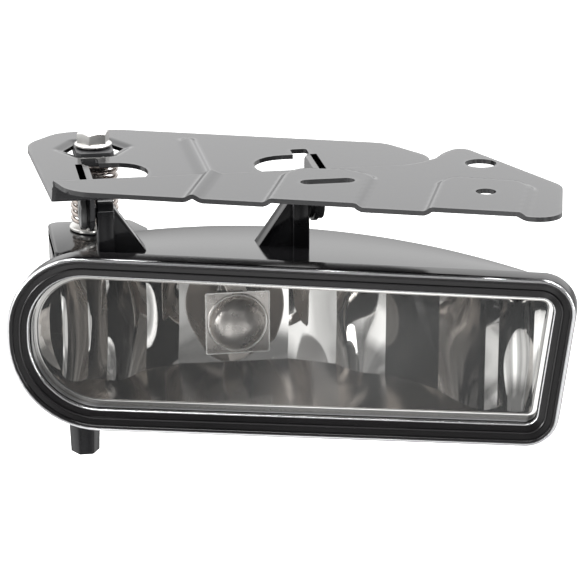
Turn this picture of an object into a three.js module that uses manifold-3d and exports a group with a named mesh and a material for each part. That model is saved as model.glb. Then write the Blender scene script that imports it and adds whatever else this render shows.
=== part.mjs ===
// Swept fog light on a joggled steel bracket, in millimetres, +Z up.
// -Y is the way the lamp shines, +X is the side where the lens comes forward.
//
// Working frame: its origin is on the tilt axis, midway between the two pivots.
// The finished group is moved so that the bracket's fixing pad is at the origin.
import * as THREE from 'three';
import { mergeVertices } from 'three/addons/utils/BufferGeometryUtils.js';
import Module from 'manifold-3d';

const wasm = await Module();
wasm.setup();

// ---------------------------------------------------------------- driving sizes

const GAP = 0.3; // air left between pieces that seat on each other

// bracket
const SHEET = 2; // pressed steel thickness
const REAR_PLATE_TOP = 17; // above the tilt axis
const JOGGLE = 8.5; // front plate stands this much above the rear plate
const JOGGLE_Y = -35; // rear face of the riser
const PAD_RISE = 1.8;
const BRACKET_SWEEP = 20.6; // front and rear edges against X, degrees
const HEX_FLATS = 23.8;
const LOCATOR_HOLE = 13.4;
const FIXING_HOLE = 8.4;
const FIXING_HOLE_AT = new THREE.Vector2(105.8, -90);
const LOCATOR_HOLE_AT = new THREE.Vector2(115.5, -41.4);
const MOUNT_AHEAD = 13; // mount point in front of the fixing hole
const SLOT_AT = new THREE.Vector2(44.5, -64);
const SLOT_LENGTH = 23;
const SLOT_WIDTH = 7;
const BEAD_WIDTH = 8;
const BEAD_RISE = 1.7;

// pivots
const TAB_X = 49.5; // middle of each folded tab
const TAB_WIDTH = 32;
const TAB_DROP = 8.5; // tab's round end below the tilt axis
const PIN_SHANK = 6;
const PIN_HEAD = 16;
const PIN_HEAD_THICKNESS = 2.6;
const BUSH_WALL = 1.6;
const BUSH_FLANGE = 15;
const BUSH_FLANGE_THICKNESS = 1.2;
const RUNNING_CLEARANCE = 0.15;

// aim adjuster
const ADJUSTER_AT = new THREE.Vector2(-43.5, 43);
const BOLT_SHANK = 8;
const BOLT_HEAD_FLATS = 13;
const BOLT_HEAD_HEIGHT = 5.4;
const BOLT_FLANGE = 17;
const BOLT_FLANGE_THICKNESS = 1.4;
const BOLT_LENGTH = 60;
const NUT_ROCK = 1.9; // room for the upright bolt while the ear swings
const SPRING_OUTSIDE = 22;
const SPRING_WIRE = 2;
const SPRING_TURNS = 10;
const SEAT_THICKNESS = 1.6;

// lamp
const LENS_SWEEP = 19.7; // lens chord against X, degrees
const LENS_CENTRE = new THREE.Vector3(29, -47.3, -55);
const LENS_LEFT = 124.6; // lens centre to the round outboard end
const LENS_RIGHT_TOP = 126.6;
const LENS_RIGHT_BOTTOM = 117.3;
const LENS_TOP_LEFT = 38.9;
const LENS_TOP_RIGHT = 41;
const LENS_BOTTOM_LEFT = 42.5;
const LENS_BOTTOM_RIGHT = 34.8;
const BEZEL_FACE = 9.3; // width of the black rim seen from the front
const BEZEL_DEPTH = 10;
const BEZEL_WALL = 1.8;
const LENS_RECESS = 5; // bezel front to the lens
const LENS_GLASS = 2.8;
const HOUSING_WALL = 2.2;
const HOUSING_DEPTH = 81;
const HOUSING_APEX = -20; // deepest point along the chord
const EAR_THICKNESS = 6;
const EAR_BELOW_RIM = 4.9;
const REFLECTOR_WALL = 1.2;
const REFLECTOR_DEPTH = 67;
const REFLECTOR_APEX = -22; // deepest point along the chord
const REFLECTOR_INSET = 11;

// bulb, on an axis along Y at the height of the lens centre
const BULB_X = 15.5;
const SOCKET_PROUD = 5.5; // rear face of the socket ring behind the housing wall
const BULB_BASE = 22;
const BULB_LUG_HEIGHT = 2.4;
const BULB_COLLAR = 15;
const BULB_GLASS = 12.4;
const SOCKET_WALL = 3.1;
const SHIELD_Y = 0;
const SHIELD_SQUARE = 29.5;
const SHIELD_DOME = 26.6;
const SHIELD_SHEET = 0.8;

// sizes that follow from them
const FRONT_PLATE_TOP = REAR_PLATE_TOP + JOGGLE;
const PAD_TOP = FRONT_PLATE_TOP + PAD_RISE;
const HOUSING_INSET = BEZEL_WALL + GAP;
const CHANNEL_BACK = -(BEZEL_DEPTH + 4);
const LENS_FACE = -(LENS_RECESS + GAP);
const NUT_BORE = BOLT_SHANK + 2 * NUT_ROCK;
const SPRING_INSIDE = SPRING_OUTSIDE - 2 * SPRING_WIRE;
const EAR_TOP = LENS_CENTRE.z + LENS_TOP_LEFT - EAR_BELOW_RIM;
const BULB_LUG_REACH = BULB_BASE / 2 + BULB_LUG_HEIGHT;
const SOCKET_BORE = BULB_BASE + 2 * GAP;
const SOCKET_OUTSIDE = 2 * (BULB_LUG_REACH + 0.5 + SOCKET_WALL);
const BULB_HOLE = BULB_COLLAR + 6 * GAP; // through the reflector
const DEGREE = Math.PI / 180;

// ---------------------------------------------------------------- materials

const finish = (color, roughness, metalness) => ({ color, roughness, metalness });
const GLOSS_STEEL = finish(0x0b0b0c, 0.22, 0.2);
const ZINC = finish(0xd8d6d0, 0.3, 1);
const SPRING_STEEL = finish(0x6f6a66, 0.35, 1);
const BLACK_MOULDING = finish(0x0a0a0b, 0.25, 0);
const BLACK_NYLON = finish(0x101011, 0.5, 0);
const RUBBER = finish(0x141414, 0.8, 0);
const CHROME = finish(0xdedcd8, 0.08, 1);
const SATIN_CHROME = finish(0x9a948e, 0.35, 1);
const CLEAR = finish(0xf4f6f6, 0.03, 0);
const BRASS = finish(0xb8954e, 0.35, 1);
const TUNGSTEN = finish(0x77736e, 0.4, 1);

// ---------------------------------------------------------------- solid modelling

function solid(geometry) {
  const bare = geometry.clone();
  bare.deleteAttribute('normal');
  bare.deleteAttribute('uv');
  const merged = mergeVertices(bare, 1e-4);
  const mesh = new wasm.Mesh({
    numProp: 3,
    vertProperties: new Float32Array(merged.attributes.position.array),
    triVerts: new Uint32Array(merged.index.array),
  });
  mesh.merge();
  return new wasm.Manifold(mesh);
}

const FINEST_DETAIL = 0.004; // slivers thinner than this are left out

function geometryOf(manifold) {
  const mesh = manifold.simplify(FINEST_DETAIL).getMesh();
  const geometry = new THREE.BufferGeometry();
  geometry.setAttribute('position', new THREE.BufferAttribute(mesh.vertProperties, 3));
  geometry.setIndex(new THREE.BufferAttribute(mesh.triVerts, 1));
  geometry.computeVertexNormals();
  return geometry;
}

function union(solids) {
  return solids.reduce((all, next) => all.add(next));
}

function subtract(body, cuts) {
  return cuts.reduce((rest, cut) => rest.subtract(cut), body);
}

function block(width, depth, height, x, y, z) {
  return solid(new THREE.BoxGeometry(width, depth, height).translate(x, y, z));
}

// upright cylinder between two heights
function disc(diameter, bottom, top, x = 0, y = 0, segments = 24) {
  const geometry = new THREE.CylinderGeometry(diameter / 2, diameter / 2, top - bottom, segments);
  geometry.rotateX(Math.PI / 2);
  geometry.translate(x, y, (bottom + top) / 2);
  return solid(geometry);
}

// cylinder along X between two stations
function barrel(diameter, from, to, y = 0, z = 0, segments = 24) {
  const geometry = new THREE.CylinderGeometry(diameter / 2, diameter / 2, to - from, segments);
  geometry.rotateZ(Math.PI / 2);
  geometry.translate((from + to) / 2, y, z);
  return solid(geometry);
}

function hexPrism(flats, bottom, top, turn = 0) {
  const geometry = new THREE.CylinderGeometry(flats / Math.sqrt(3), flats / Math.sqrt(3), top - bottom, 6);
  geometry.rotateX(Math.PI / 2);
  geometry.rotateZ(turn);
  geometry.translate(0, 0, (bottom + top) / 2);
  return solid(geometry);
}

// shape through corners given as [x, y, radius]
function roundedShape(corners) {
  const shape = new THREE.Shape();
  corners.forEach(([x, y, radius], index) => {
    const here = new THREE.Vector2(x, y);
    const before = new THREE.Vector2(...corners.at(index - 1).slice(0, 2));
    const after = new THREE.Vector2(...corners[(index + 1) % corners.length].slice(0, 2));
    const back = before.sub(here).normalize();
    const ahead = after.sub(here).normalize();
    const turn = back.x * ahead.y - back.y * ahead.x;
    const half = Math.acos(THREE.MathUtils.clamp(back.dot(ahead), -1, 1)) / 2;
    const place = index === 0 ? 'moveTo' : 'lineTo';
    if (radius === 0) {
      shape[place](x, y);
      return;
    }
    const start = here.clone().addScaledVector(back, radius / Math.tan(half));
    const centre = here.clone().addScaledVector(back.clone().add(ahead).normalize(), radius / Math.sin(half));
    const end = here.clone().addScaledVector(ahead, radius / Math.tan(half));
    const startAngle = Math.atan2(start.y - centre.y, start.x - centre.x);
    const endAngle = Math.atan2(end.y - centre.y, end.x - centre.x);
    shape[place](start.x, start.y);
    shape.absarc(centre.x, centre.y, radius, startAngle, endAngle, turn > 0);
  });
  shape.closePath();
  return shape;
}

// plate between two heights from a shape in plan
function plate(shape, bottom, top, curveSegments = 4) {
  const options = { depth: top - bottom, bevelEnabled: false, curveSegments };
  return solid(new THREE.ExtrudeGeometry(shape, options).translate(0, 0, bottom));
}

function lathe(profile, segments = 24) {
  const points = profile.map(([radius, along]) => new THREE.Vector2(radius, along));
  return new THREE.LatheGeometry(points, segments).rotateX(Math.PI / 2);
}

class Helix extends THREE.Curve {
  constructor(radius, pitch, turns) {
    super();
    Object.assign(this, { radius, pitch, turns });
  }

  getPoint(t, target = new THREE.Vector3()) {
    const angle = t * this.turns * 2 * Math.PI;
    const x = this.radius * Math.cos(angle);
    const y = this.radius * Math.sin(angle);
    return target.set(x, y, t * this.turns * this.pitch);
  }
}

function circleShape(diameter, sides) {
  const corners = Array.from({ length: sides }, (_, i) => {
    const angle = (i / sides) * 2 * Math.PI;
    return new THREE.Vector2((diameter / 2) * Math.cos(angle), (diameter / 2) * Math.sin(angle));
  });
  return new THREE.Shape(corners);
}

function wire(path, diameter, sides, steps) {
  const options = { steps, extrudePath: path, bevelEnabled: false };
  return new THREE.ExtrudeGeometry(circleShape(diameter, sides), options);
}

// ---------------------------------------------------------------- lens outline

// In the lens frame X runs along the chord, -Y is forward and the centre is at the origin.
const LENS_MATRIX = new THREE.Matrix4()
  .makeRotationZ(-LENS_SWEEP * DEGREE)
  .setPosition(LENS_CENTRE);

const LENS_CORNERS = [
  [-LENS_LEFT, LENS_TOP_LEFT, 36],
  [-LENS_LEFT, -LENS_BOTTOM_LEFT, 40],
  [LENS_RIGHT_BOTTOM, -LENS_BOTTOM_RIGHT, 15],
  [LENS_RIGHT_TOP, LENS_TOP_RIGHT, 15],
];
const CORNER_STEPS = 7;

// closed loop of points, a given distance inside the rim's outline
function lensOutline(inset) {
  const points = [];
  const count = LENS_CORNERS.length;
  for (let index = 0; index < count; index += 1) {
    const [x, y, radius] = LENS_CORNERS[index];
    const here = new THREE.Vector2(x, y);
    const before = new THREE.Vector2(...LENS_CORNERS.at(index - 1).slice(0, 2));
    const after = new THREE.Vector2(...LENS_CORNERS[(index + 1) % count].slice(0, 2));
    const back = before.sub(here).normalize();
    const ahead = after.sub(here).normalize();
    const half = Math.acos(back.dot(ahead)) / 2;
    const inward = back.clone().add(ahead).normalize();
    const centre = here.clone().addScaledVector(inward, radius / Math.sin(half));
    const start = here.clone().addScaledVector(back, radius / Math.tan(half)).sub(centre);
    const sweep = Math.PI - 2 * half;
    const rolled = Math.max(radius - inset, 0.5);
    const shift = Math.max(inset - radius + 0.5, 0) / Math.sin(half);
    for (let step = 0; step <= CORNER_STEPS; step += 1) {
      const angle = (sweep * step) / CORNER_STEPS;
      const arm = start.clone().normalize().rotateAround(new THREE.Vector2(), angle);
      points.push(centre.clone().addScaledVector(arm, rolled).addScaledVector(inward, shift));
    }
  }
  return points;
}

// closed ring whose section is a loop of [inset, forward] points
function outlineRing(section) {
  const loops = section.map(([inset]) => lensOutline(inset));
  const around = loops[0].length;
  const area = section.reduce((sum, [inset, forward], index) => {
    const [nextInset, nextForward] = section[(index + 1) % section.length];
    return sum + inset * nextForward - nextInset * forward;
  }, 0);
  const positions = [];
  loops.forEach((loop, row) => {
    loop.forEach((point) => positions.push(point.x, -section[row][1], point.y));
  });
  const index = [];
  for (let row = 0; row < section.length; row += 1) {
    const next = (row + 1) % section.length;
    for (let step = 0; step < around; step += 1) {
      const ahead = (step + 1) % around;
      const quad = [row * around + step, row * around + ahead, next * around + ahead, next * around + step];
      const order = area > 0 ? [0, 2, 1, 0, 3, 2] : [0, 1, 2, 0, 2, 3];
      order.forEach((corner) => index.push(quad[corner]));
    }
  }
  const geometry = new THREE.BufferGeometry();
  geometry.setAttribute('position', new THREE.Float32BufferAttribute(positions, 3));
  geometry.setIndex(index);
  return geometry;
}

// block with the lens outline, tapering to the rear
function outlinePrism(inset, front, back, taper = 1) {
  const depth = front - back;
  const options = { depth, bevelEnabled: false };
  const geometry = new THREE.ExtrudeGeometry(new THREE.Shape(lensOutline(inset)), options);
  const position = geometry.attributes.position;
  for (let i = 0; i < position.count; i += 1) {
    const share = 1 - position.getZ(i) / depth;
    const scale = 1 + (taper - 1) * share;
    position.setXY(i, position.getX(i) * scale, position.getY(i) * scale);
  }
  return geometry.translate(0, 0, back).rotateX(Math.PI / 2);
}

const HOUSING_TAPER = 0.9; // draft between the rim and the deepest point

// bowl seen from above: a parabola with its own half width on each side of the apex
function bowlPoint(along, apex, depth, leftHalf, rightHalf, fall) {
  const half = along < apex ? leftHalf : rightHalf;
  return depth - fall * ((along - apex) / half) ** 2;
}

function bowlShape(curve, from, to, steps, offset) {
  const points = [];
  for (let step = 0; step <= steps; step += 1) {
    const along = from + ((to - from) * step) / steps;
    const slope = (curve(along + 0.01) - curve(along - 0.01)) / 0.02;
    points.push(new THREE.Vector2(along, curve(along) + offset * Math.hypot(1, slope)));
  }
  points.push(new THREE.Vector2(to, -20), new THREE.Vector2(from, -20));
  return new THREE.Shape(points.reverse());
}

// ---------------------------------------------------------------- bracket

const slope = Math.tan(BRACKET_SWEEP * DEGREE);
const frontEdgeY = (x) => -65.5 - slope * (x + 35.8);
const rearEdgeY = (x) => 73.7 - slope * (x + 30.4);

function rearPlateShape() {
  return roundedShape([
    [-68.2, JOGGLE_Y - 1, 0],
    [84, JOGGLE_Y - 1, 0],
    [97, -28.6, 3],
    [103, 4, 14],
    [88, rearEdgeY(88), 16],
    [ADJUSTER_AT.x + 13, rearEdgeY(ADJUSTER_AT.x + 13), 26],
    [ADJUSTER_AT.x - 14, 72, 16],
    [ADJUSTER_AT.x - 29.8, ADJUSTER_AT.y + 11, 20],
  ]);
}

function frontPlateShape() {
  return roundedShape([
    [-66.4, JOGGLE_Y, 3],
    [-62.5, frontEdgeY(-62.5), 20],
    [128, frontEdgeY(128), 10],
    [141, -81, 14],
    [113.4, -13, 5],
    [97, -27.6, 12],
    [84, JOGGLE_Y, 12],
  ]);
}

function riser() {
  const front = JOGGLE_Y - SHEET;
  const shape = new THREE.Shape([
    new THREE.Vector2(-68.2, front),
    new THREE.Vector2(84.5, front),
    new THREE.Vector2(98.4, -29.4),
    new THREE.Vector2(97.2, -27.4),
    new THREE.Vector2(83.5, JOGGLE_Y),
    new THREE.Vector2(-67.2, JOGGLE_Y),
  ]);
  return plate(shape, REAR_PLATE_TOP - SHEET, FRONT_PLATE_TOP);
}

// raised pad open below, cut to the plate's outline
function pad(corners) {
  const centre = new THREE.Vector2();
  corners.forEach(([x, y]) => centre.add(new THREE.Vector2(x, y)));
  centre.divideScalar(corners.length);
  const shrink = 0.93;
  const recess = corners.map(([x, y, radius]) => {
    return [centre.x + (x - centre.x) * shrink, centre.y + (y - centre.y) * shrink, radius * shrink];
  });
  return {
    boss: plate(roundedShape(corners), FRONT_PLATE_TOP - SHEET, PAD_TOP),
    recess: plate(roundedShape(recess), FRONT_PLATE_TOP - SHEET - 1, PAD_TOP - SHEET),
  };
}

const FRONT_PADS = [
  [
    [8.5, -104, 2],
    [29, -47, 6],
    [36, -40, 6],
    [57, -46, 6],
    [66, -56, 6],
    [45.8, -112, 2],
  ],
  [
    [70.8, -126, 2],
    [91, -70, 6],
    [97, -63.5, 6],
    [124, -75, 6],
    [127, -84, 6],
    [109, -134, 2],
  ],
];

// pressed stiffening bead: an arch along Y
function bead(from, to, base, thickness) {
  const arch = (half, rise) => {
    const shape = new THREE.Shape();
    shape.moveTo(-half, -0.4);
    shape.lineTo(half, -0.4);
    shape.lineTo(half, 0);
    shape.quadraticCurveTo(half * 0.6, rise, 0, rise);
    shape.quadraticCurveTo(-half * 0.6, rise, -half, 0);
    shape.closePath();
    return shape;
  };
  const run = (half, rise, start, end, drop) => {
    const options = { depth: end - start, bevelEnabled: false, curveSegments: 4 };
    const geometry = new THREE.ExtrudeGeometry(arch(half, rise), options);
    return solid(geometry.rotateX(Math.PI / 2).translate(0, end, base - drop));
  };
  const half = BEAD_WIDTH / 2;
  return {
    crest: run(half, BEAD_RISE, from, to, 0),
    hollow: run(half - thickness / 2, BEAD_RISE, from - 1, to - thickness, thickness),
  };
}

// tab folded down beside its window; side is -1 on the left and 1 on the right
function pivotTab(side) {
  const half = TAB_WIDTH / 2;
  const top = REAR_PLATE_TOP;
  const shape = roundedShape([
    [-half, top, 0],
    [-half, -TAB_DROP, half - 0.5],
    [half, -TAB_DROP, half - 0.5],
    [half, top, 0],
  ]);
  const hole = new THREE.Path();
  hole.absarc(0, 0, PIN_SHANK / 2 + BUSH_WALL + GAP, 0, 2 * Math.PI, false);
  shape.holes.push(hole);
  const options = { depth: SHEET, bevelEnabled: false, curveSegments: 8 };
  const geometry = new THREE.ExtrudeGeometry(shape, options);
  geometry.rotateX(Math.PI / 2).rotateZ(Math.PI / 2);
  return solid(geometry.translate(side * TAB_X - SHEET / 2, 0, 0));
}

// the window that the tab leaves behind, with a relief notch at the fold
function tabWindow(side) {
  const fold = TAB_X - SHEET / 2;
  const half = TAB_WIDTH / 2;
  const bottom = REAR_PLATE_TOP - SHEET - 1;
  const blank = roundedShape([
    [side * fold, half, 0],
    [side * fold, -half, 0],
    [side * (fold - 25), -half, half - 1],
    [side * (fold - 25), half, half - 1],
  ]);
  const relief = roundedShape([
    [side * (fold + 2.5), half + 9, 1.5],
    [side * (fold + 2.5), half - 3, 1],
    [side * (fold - 5), half - 3, 1],
    [side * (fold - 5), half + 9, 1.5],
  ]);
  return plate(blank, bottom, REAR_PLATE_TOP + 1).add(plate(relief, bottom, REAR_PLATE_TOP + 1));
}

function hexHole() {
  const geometry = new THREE.CylinderGeometry(1, 1, 6, 6);
  const corner = HEX_FLATS / Math.sqrt(3);
  geometry.scale(corner, 1, corner).rotateX(Math.PI / 2).rotateZ(Math.PI / 2);
  return solid(geometry.translate(ADJUSTER_AT.x, ADJUSTER_AT.y, REAR_PLATE_TOP - 1));
}

function slotHole() {
  const half = SLOT_LENGTH / 2;
  const radius = SLOT_WIDTH / 2 - 0.01;
  const shape = roundedShape([
    [SLOT_AT.x - half, SLOT_AT.y - SLOT_WIDTH / 2, radius],
    [SLOT_AT.x + half, SLOT_AT.y - SLOT_WIDTH / 2, radius],
    [SLOT_AT.x + half, SLOT_AT.y + SLOT_WIDTH / 2, radius],
    [SLOT_AT.x - half, SLOT_AT.y + SLOT_WIDTH / 2, radius],
  ]);
  return plate(shape, FRONT_PLATE_TOP - 5, PAD_TOP + 5);
}

// in front of the joggle the bead and the pads' sides run square to the front edge
const FRONT_SLANT = 0.36;
const BEAD_TURN = new THREE.Matrix4()
  .makeTranslation(-FRONT_SLANT * JOGGLE_Y, 0, 0)
  .multiply(new THREE.Matrix4().makeShear(0, 0, FRONT_SLANT, 0, 0, 0));

function mountingBracket() {
  const rear = plate(rearPlateShape(), REAR_PLATE_TOP - SHEET, REAR_PLATE_TOP);
  const front = plate(frontPlateShape(), FRONT_PLATE_TOP - SHEET, FRONT_PLATE_TOP);
  const trim = plate(frontPlateShape(), FRONT_PLATE_TOP - 9, PAD_TOP + 9);
  const pads = FRONT_PADS.map(pad);
  const rearBead = bead(JOGGLE_Y, 53, REAR_PLATE_TOP, 1.6);
  const straightBead = bead(-90, JOGGLE_Y, FRONT_PLATE_TOP, 1.6);
  const frontBead = {
    crest: straightBead.crest.transform(BEAD_TURN.toArray()),
    hollow: straightBead.hollow.transform(BEAD_TURN.toArray()),
  };
  const raised = [...pads.map(({ boss }) => boss), frontBead.crest];
  const upper = union([front, ...raised.map((piece) => piece.intersect(trim))]);
  const upperPressed = subtract(upper, [...pads.map(({ recess }) => recess), frontBead.hollow]);
  const lower = union([rear, rearBead.crest]).subtract(rearBead.hollow);
  const sheet = union([lower, upperPressed, riser(), pivotTab(-1), pivotTab(1)]);
  return subtract(sheet, [
    tabWindow(-1),
    tabWindow(1),
    hexHole(),
    slotHole(),
    disc(FIXING_HOLE, 10, PAD_TOP + 5, FIXING_HOLE_AT.x, FIXING_HOLE_AT.y),
    disc(LOCATOR_HOLE, 10, PAD_TOP + 5, LOCATOR_HOLE_AT.x, LOCATOR_HOLE_AT.y),
  ]);
}

// ---------------------------------------------------------------- pivots

// flanged nylon bush pressed in a tab, built about X and shared by both sides
function pivotBush() {
  const halfSheet = SHEET / 2 + 0.05;
  const outside = PIN_SHANK + 2 * BUSH_WALL;
  const flangeEnd = halfSheet + BUSH_FLANGE_THICKNESS;
  return union([
    barrel(outside, -flangeEnd, flangeEnd),
    barrel(BUSH_FLANGE, halfSheet, flangeEnd),
    barrel(BUSH_FLANGE, -flangeEnd, -halfSheet),
  ]).subtract(barrel(PIN_SHANK + 2 * RUNNING_CLEARANCE, -9, 9));
}

const POST_WIDTH = 13.5;
const POST_OUTER = TAB_X - SHEET / 2 - BUSH_FLANGE_THICKNESS - 0.05 - GAP;
const POST_INNER = POST_OUTER - POST_WIDTH; // nearest face of each post to the middle
const GUSSET_REACH = 9;
const POST_PIN_DEPTH = 9;

// shouldered pin screwed into the post, head outside the tab
function pivotPin() {
  const headStart = SHEET / 2 + 0.05 + BUSH_FLANGE_THICKNESS + GAP;
  const headEnd = headStart + PIN_HEAD_THICKNESS;
  const tip = TAB_X - POST_OUTER + POST_PIN_DEPTH - GAP;
  const pin = union([
    barrel(PIN_SHANK, -tip, headStart + 0.5, 0, 0, 24),
    barrel(PIN_HEAD, headStart, headEnd),
    barrel(PIN_HEAD - 3, headEnd - 0.2, headEnd + 0.7),
  ]);
  const recess = hexPrism(5, 0, 3, Math.PI / 6).rotate([0, 90, 0]).translate([headEnd - 1.4, 0, 0]);
  return pin.subtract(recess);
}

// ---------------------------------------------------------------- aim adjuster

// hexagonal-window grommet that the bolt turns in; built about the bolt axis
const GROMMET_WIDTH = 17;
const GROMMET_LIP = 2.2;
const LIP_THICKNESS = 1.8;
const LIP_BOTTOM = REAR_PLATE_TOP - SHEET - GAP - LIP_THICKNESS;
const GROMMET_TOP = REAR_PLATE_TOP + 0.6;

function adjusterGrommet() {
  const depth = HEX_FLATS - 2 * GAP;
  const lipWidth = depth + 2 * GROMMET_LIP;
  const bottom = REAR_PLATE_TOP - SHEET;
  const key = hexPrism(depth, bottom - 9, REAR_PLATE_TOP + 9, Math.PI / 6);
  const height = GROMMET_TOP - LIP_BOTTOM;
  const plug = block(GROMMET_WIDTH, depth, height, 0, 0, LIP_BOTTOM + height / 2);
  const body = plug.intersect(key);
  const lip = block(GROMMET_WIDTH, lipWidth, LIP_THICKNESS, 0, 0, LIP_BOTTOM + LIP_THICKNESS / 2);
  const collar = disc(SPRING_INSIDE - 3, bottom - 7, bottom - 2);
  const bore = disc(BOLT_SHANK + 2 * RUNNING_CLEARANCE, 0, 40);
  return union([body, lip, collar]).subtract(bore);
}

const GROMMET_BOTTOM = REAR_PLATE_TOP - SHEET - 7;

function adjusterBolt() {
  const seat = GROMMET_TOP + GAP;
  const headTop = seat + BOLT_FLANGE_THICKNESS + BOLT_HEAD_HEIGHT;
  const head = hexPrism(BOLT_HEAD_FLATS, seat + BOLT_FLANGE_THICKNESS - 0.2, headTop, Math.PI / 6);
  const crown = solid(lathe([
    [0, headTop - 9],
    [BOLT_HEAD_FLATS, headTop - 9],
    [BOLT_HEAD_FLATS, headTop - 4],
    [BOLT_HEAD_FLATS / 2 - 0.4, headTop],
    [0, headTop],
  ]));
  const shank = solid(lathe([
    [0, seat - BOLT_LENGTH],
    [BOLT_SHANK / 2 - 1, seat - BOLT_LENGTH],
    [BOLT_SHANK / 2, seat - BOLT_LENGTH + 1],
    [BOLT_SHANK / 2, seat + 0.5],
    [0, seat + 0.5],
  ], 24));
  const groove = disc(20, GROMMET_BOTTOM - GAP - 1.3, GROMMET_BOTTOM - GAP - 0.1);
  const core = disc(BOLT_SHANK - 1.6, GROMMET_BOTTOM - GAP - 1.5, GROMMET_BOTTOM - GAP);
  const flange = disc(BOLT_FLANGE, seat, seat + BOLT_FLANGE_THICKNESS);
  return union([head.intersect(crown), flange, shank.subtract(groove.subtract(core))]);
}

// circlip in the groove under the grommet: it keeps the bolt from lifting
function boltClip() {
  const top = GROMMET_BOTTOM - GAP - 0.2;
  const bottom = top - 1;
  const ring = disc(13, bottom, top).subtract(disc(BOLT_SHANK - 1.6 + 0.4, bottom - 1, top + 1));
  return ring.subtract(block(3, 10, 4, 0, -6, bottom + 0.5));
}

const SEAT_TOP = EAR_TOP + GAP + SEAT_THICKNESS;
const SEAT_OUTSIDE = SPRING_OUTSIDE + 1.5;

function springSeat() {
  const bottom = EAR_TOP + GAP;
  const bore = disc(NUT_BORE + 0.6, bottom - 2, SEAT_TOP + 4);
  const rim = disc(SPRING_INSIDE - 1.5, bottom, SEAT_TOP + 0.8);
  return disc(SEAT_OUTSIDE, bottom, SEAT_TOP).add(rim).subtract(bore);
}

function adjusterSpring() {
  const bottom = SEAT_TOP + SPRING_WIRE / 2 + 0.8;
  const top = LIP_BOTTOM - GAP - SPRING_WIRE / 2;
  const coil = new Helix((SPRING_OUTSIDE - SPRING_WIRE) / 2, (top - bottom) / SPRING_TURNS, SPRING_TURNS);
  return solid(wire(coil, SPRING_WIRE, 6, SPRING_TURNS * 12).translate(0, 0, bottom));
}

const NUT_FLATS = 19;
const NUT_FOOT = NUT_FLATS + 3;
const NUT_HEIGHT = 7;
const NUT_POCKET = 3.4;

function adjusterNut() {
  const top = EAR_TOP - EAR_THICKNESS + NUT_POCKET - GAP;
  const body = hexPrism(NUT_FLATS, top - NUT_HEIGHT, top, Math.PI / 6);
  const foot = disc(NUT_FOOT, top - NUT_HEIGHT - 1.6, top - NUT_HEIGHT + 0.1);
  return body.add(foot).subtract(disc(NUT_BORE, top - 20, top + 5, 0, 0, 24));
}

// ---------------------------------------------------------------- housing

const HOUSING_LEAST_DEPTH = 20;
const HOUSING_END_DEPTH = 15;
const HOUSING_OVERRUN = 3.4; // the bowl would meet its end depth this far outside the round end
const HOUSING_SHOULDER = 17.6; // and this far inside the square end
const housingCurve = (along) => {
  const left = LENS_LEFT + HOUSING_APEX + HOUSING_OVERRUN;
  const right = LENS_RIGHT_TOP - HOUSING_APEX - HOUSING_SHOULDER;
  const depth = bowlPoint(along, HOUSING_APEX, HOUSING_DEPTH, left, right, HOUSING_DEPTH - HOUSING_END_DEPTH);
  return Math.max(depth, HOUSING_LEAST_DEPTH);
};

// rear face of the housing on a line along Y at this X, found by stepping forward from behind it
const wallBehind = (x) => {
  const inverse = LENS_MATRIX.clone().invert();
  let y = 120;
  const probe = new THREE.Vector3();
  const depthAt = (at) => {
    probe.set(x, at, LENS_CENTRE.z).applyMatrix4(inverse);
    return probe.y - housingCurve(probe.x);
  };
  while (depthAt(y) > 0) {
    y -= 0.25;
  }
  return y;
};

const BULB_SEAT_Y = wallBehind(BULB_X) + SOCKET_PROUD;

function housingSolid(inset, offset, front) {
  const bowl = plate(bowlShape(housingCurve, -LENS_LEFT - 1.4, LENS_RIGHT_TOP - 2.6, 30, offset), -60, 60);
  const sleeve = solid(outlinePrism(inset, front, -HOUSING_DEPTH - 4, HOUSING_TAPER));
  return bowl.intersect(sleeve).transform(LENS_MATRIX.toArray());
}

// channel round the mouth that takes the lens skirt
const CHANNEL_WALL = 1.8;
const CHANNEL_FLOOR = CHANNEL_BACK + 2;
const CHANNEL_LIP = LENS_FACE - LENS_GLASS;
const CHANNEL_INNER_LIP = CHANNEL_FLOOR + 1.8;

function lensChannel() {
  return solid(outlineRing([
    [HOUSING_INSET, CHANNEL_BACK],
    [HOUSING_INSET, CHANNEL_LIP],
    [HOUSING_INSET + CHANNEL_WALL, CHANNEL_LIP],
    [HOUSING_INSET + CHANNEL_WALL, CHANNEL_FLOOR],
    [8.9, CHANNEL_FLOOR],
    [8.9, CHANNEL_INNER_LIP],
    [10.4, CHANNEL_INNER_LIP],
    [10.4, CHANNEL_BACK],
  ])).transform(LENS_MATRIX.toArray());
}

// post moulded on the roof, with a gusset towards the middle of the lamp
function pivotPost(side) {
  const foot = EAR_TOP + 1;
  const wall = roundedShape([
    [-8, foot, 0],
    [8, foot, 0],
    [8, 8.5, 8],
    [-8, 8.5, 8],
  ]);
  const gusset = roundedShape([
    [-POST_OUTER + 1, foot, 0],
    [-POST_INNER + GUSSET_REACH, foot, 0],
    [-POST_INNER + GUSSET_REACH, EAR_TOP + 1.5, 0.8],
    [-POST_INNER - 3, 3, 3],
    [-POST_OUTER + 1, 3, 0],
  ]);
  const flat = { bevelEnabled: false, curveSegments: 6 };
  const body = new THREE.ExtrudeGeometry(wall, { ...flat, depth: POST_OUTER - POST_INNER });
  body.rotateX(Math.PI / 2).rotateZ(Math.PI / 2).translate(-POST_OUTER, 0, 0);
  const web = new THREE.ExtrudeGeometry(gusset, { ...flat, depth: 11 });
  web.rotateX(Math.PI / 2).translate(0, 7.5, 0);
  const left = solid(body).add(solid(web));
  const hole = barrel(PIN_SHANK + 0.4, -POST_OUTER - 1, -POST_OUTER + POST_PIN_DEPTH, 0, 0, 24);
  const post = left.subtract(hole);
  return side < 0 ? post : post.mirror([1, 0, 0]);
}

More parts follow.
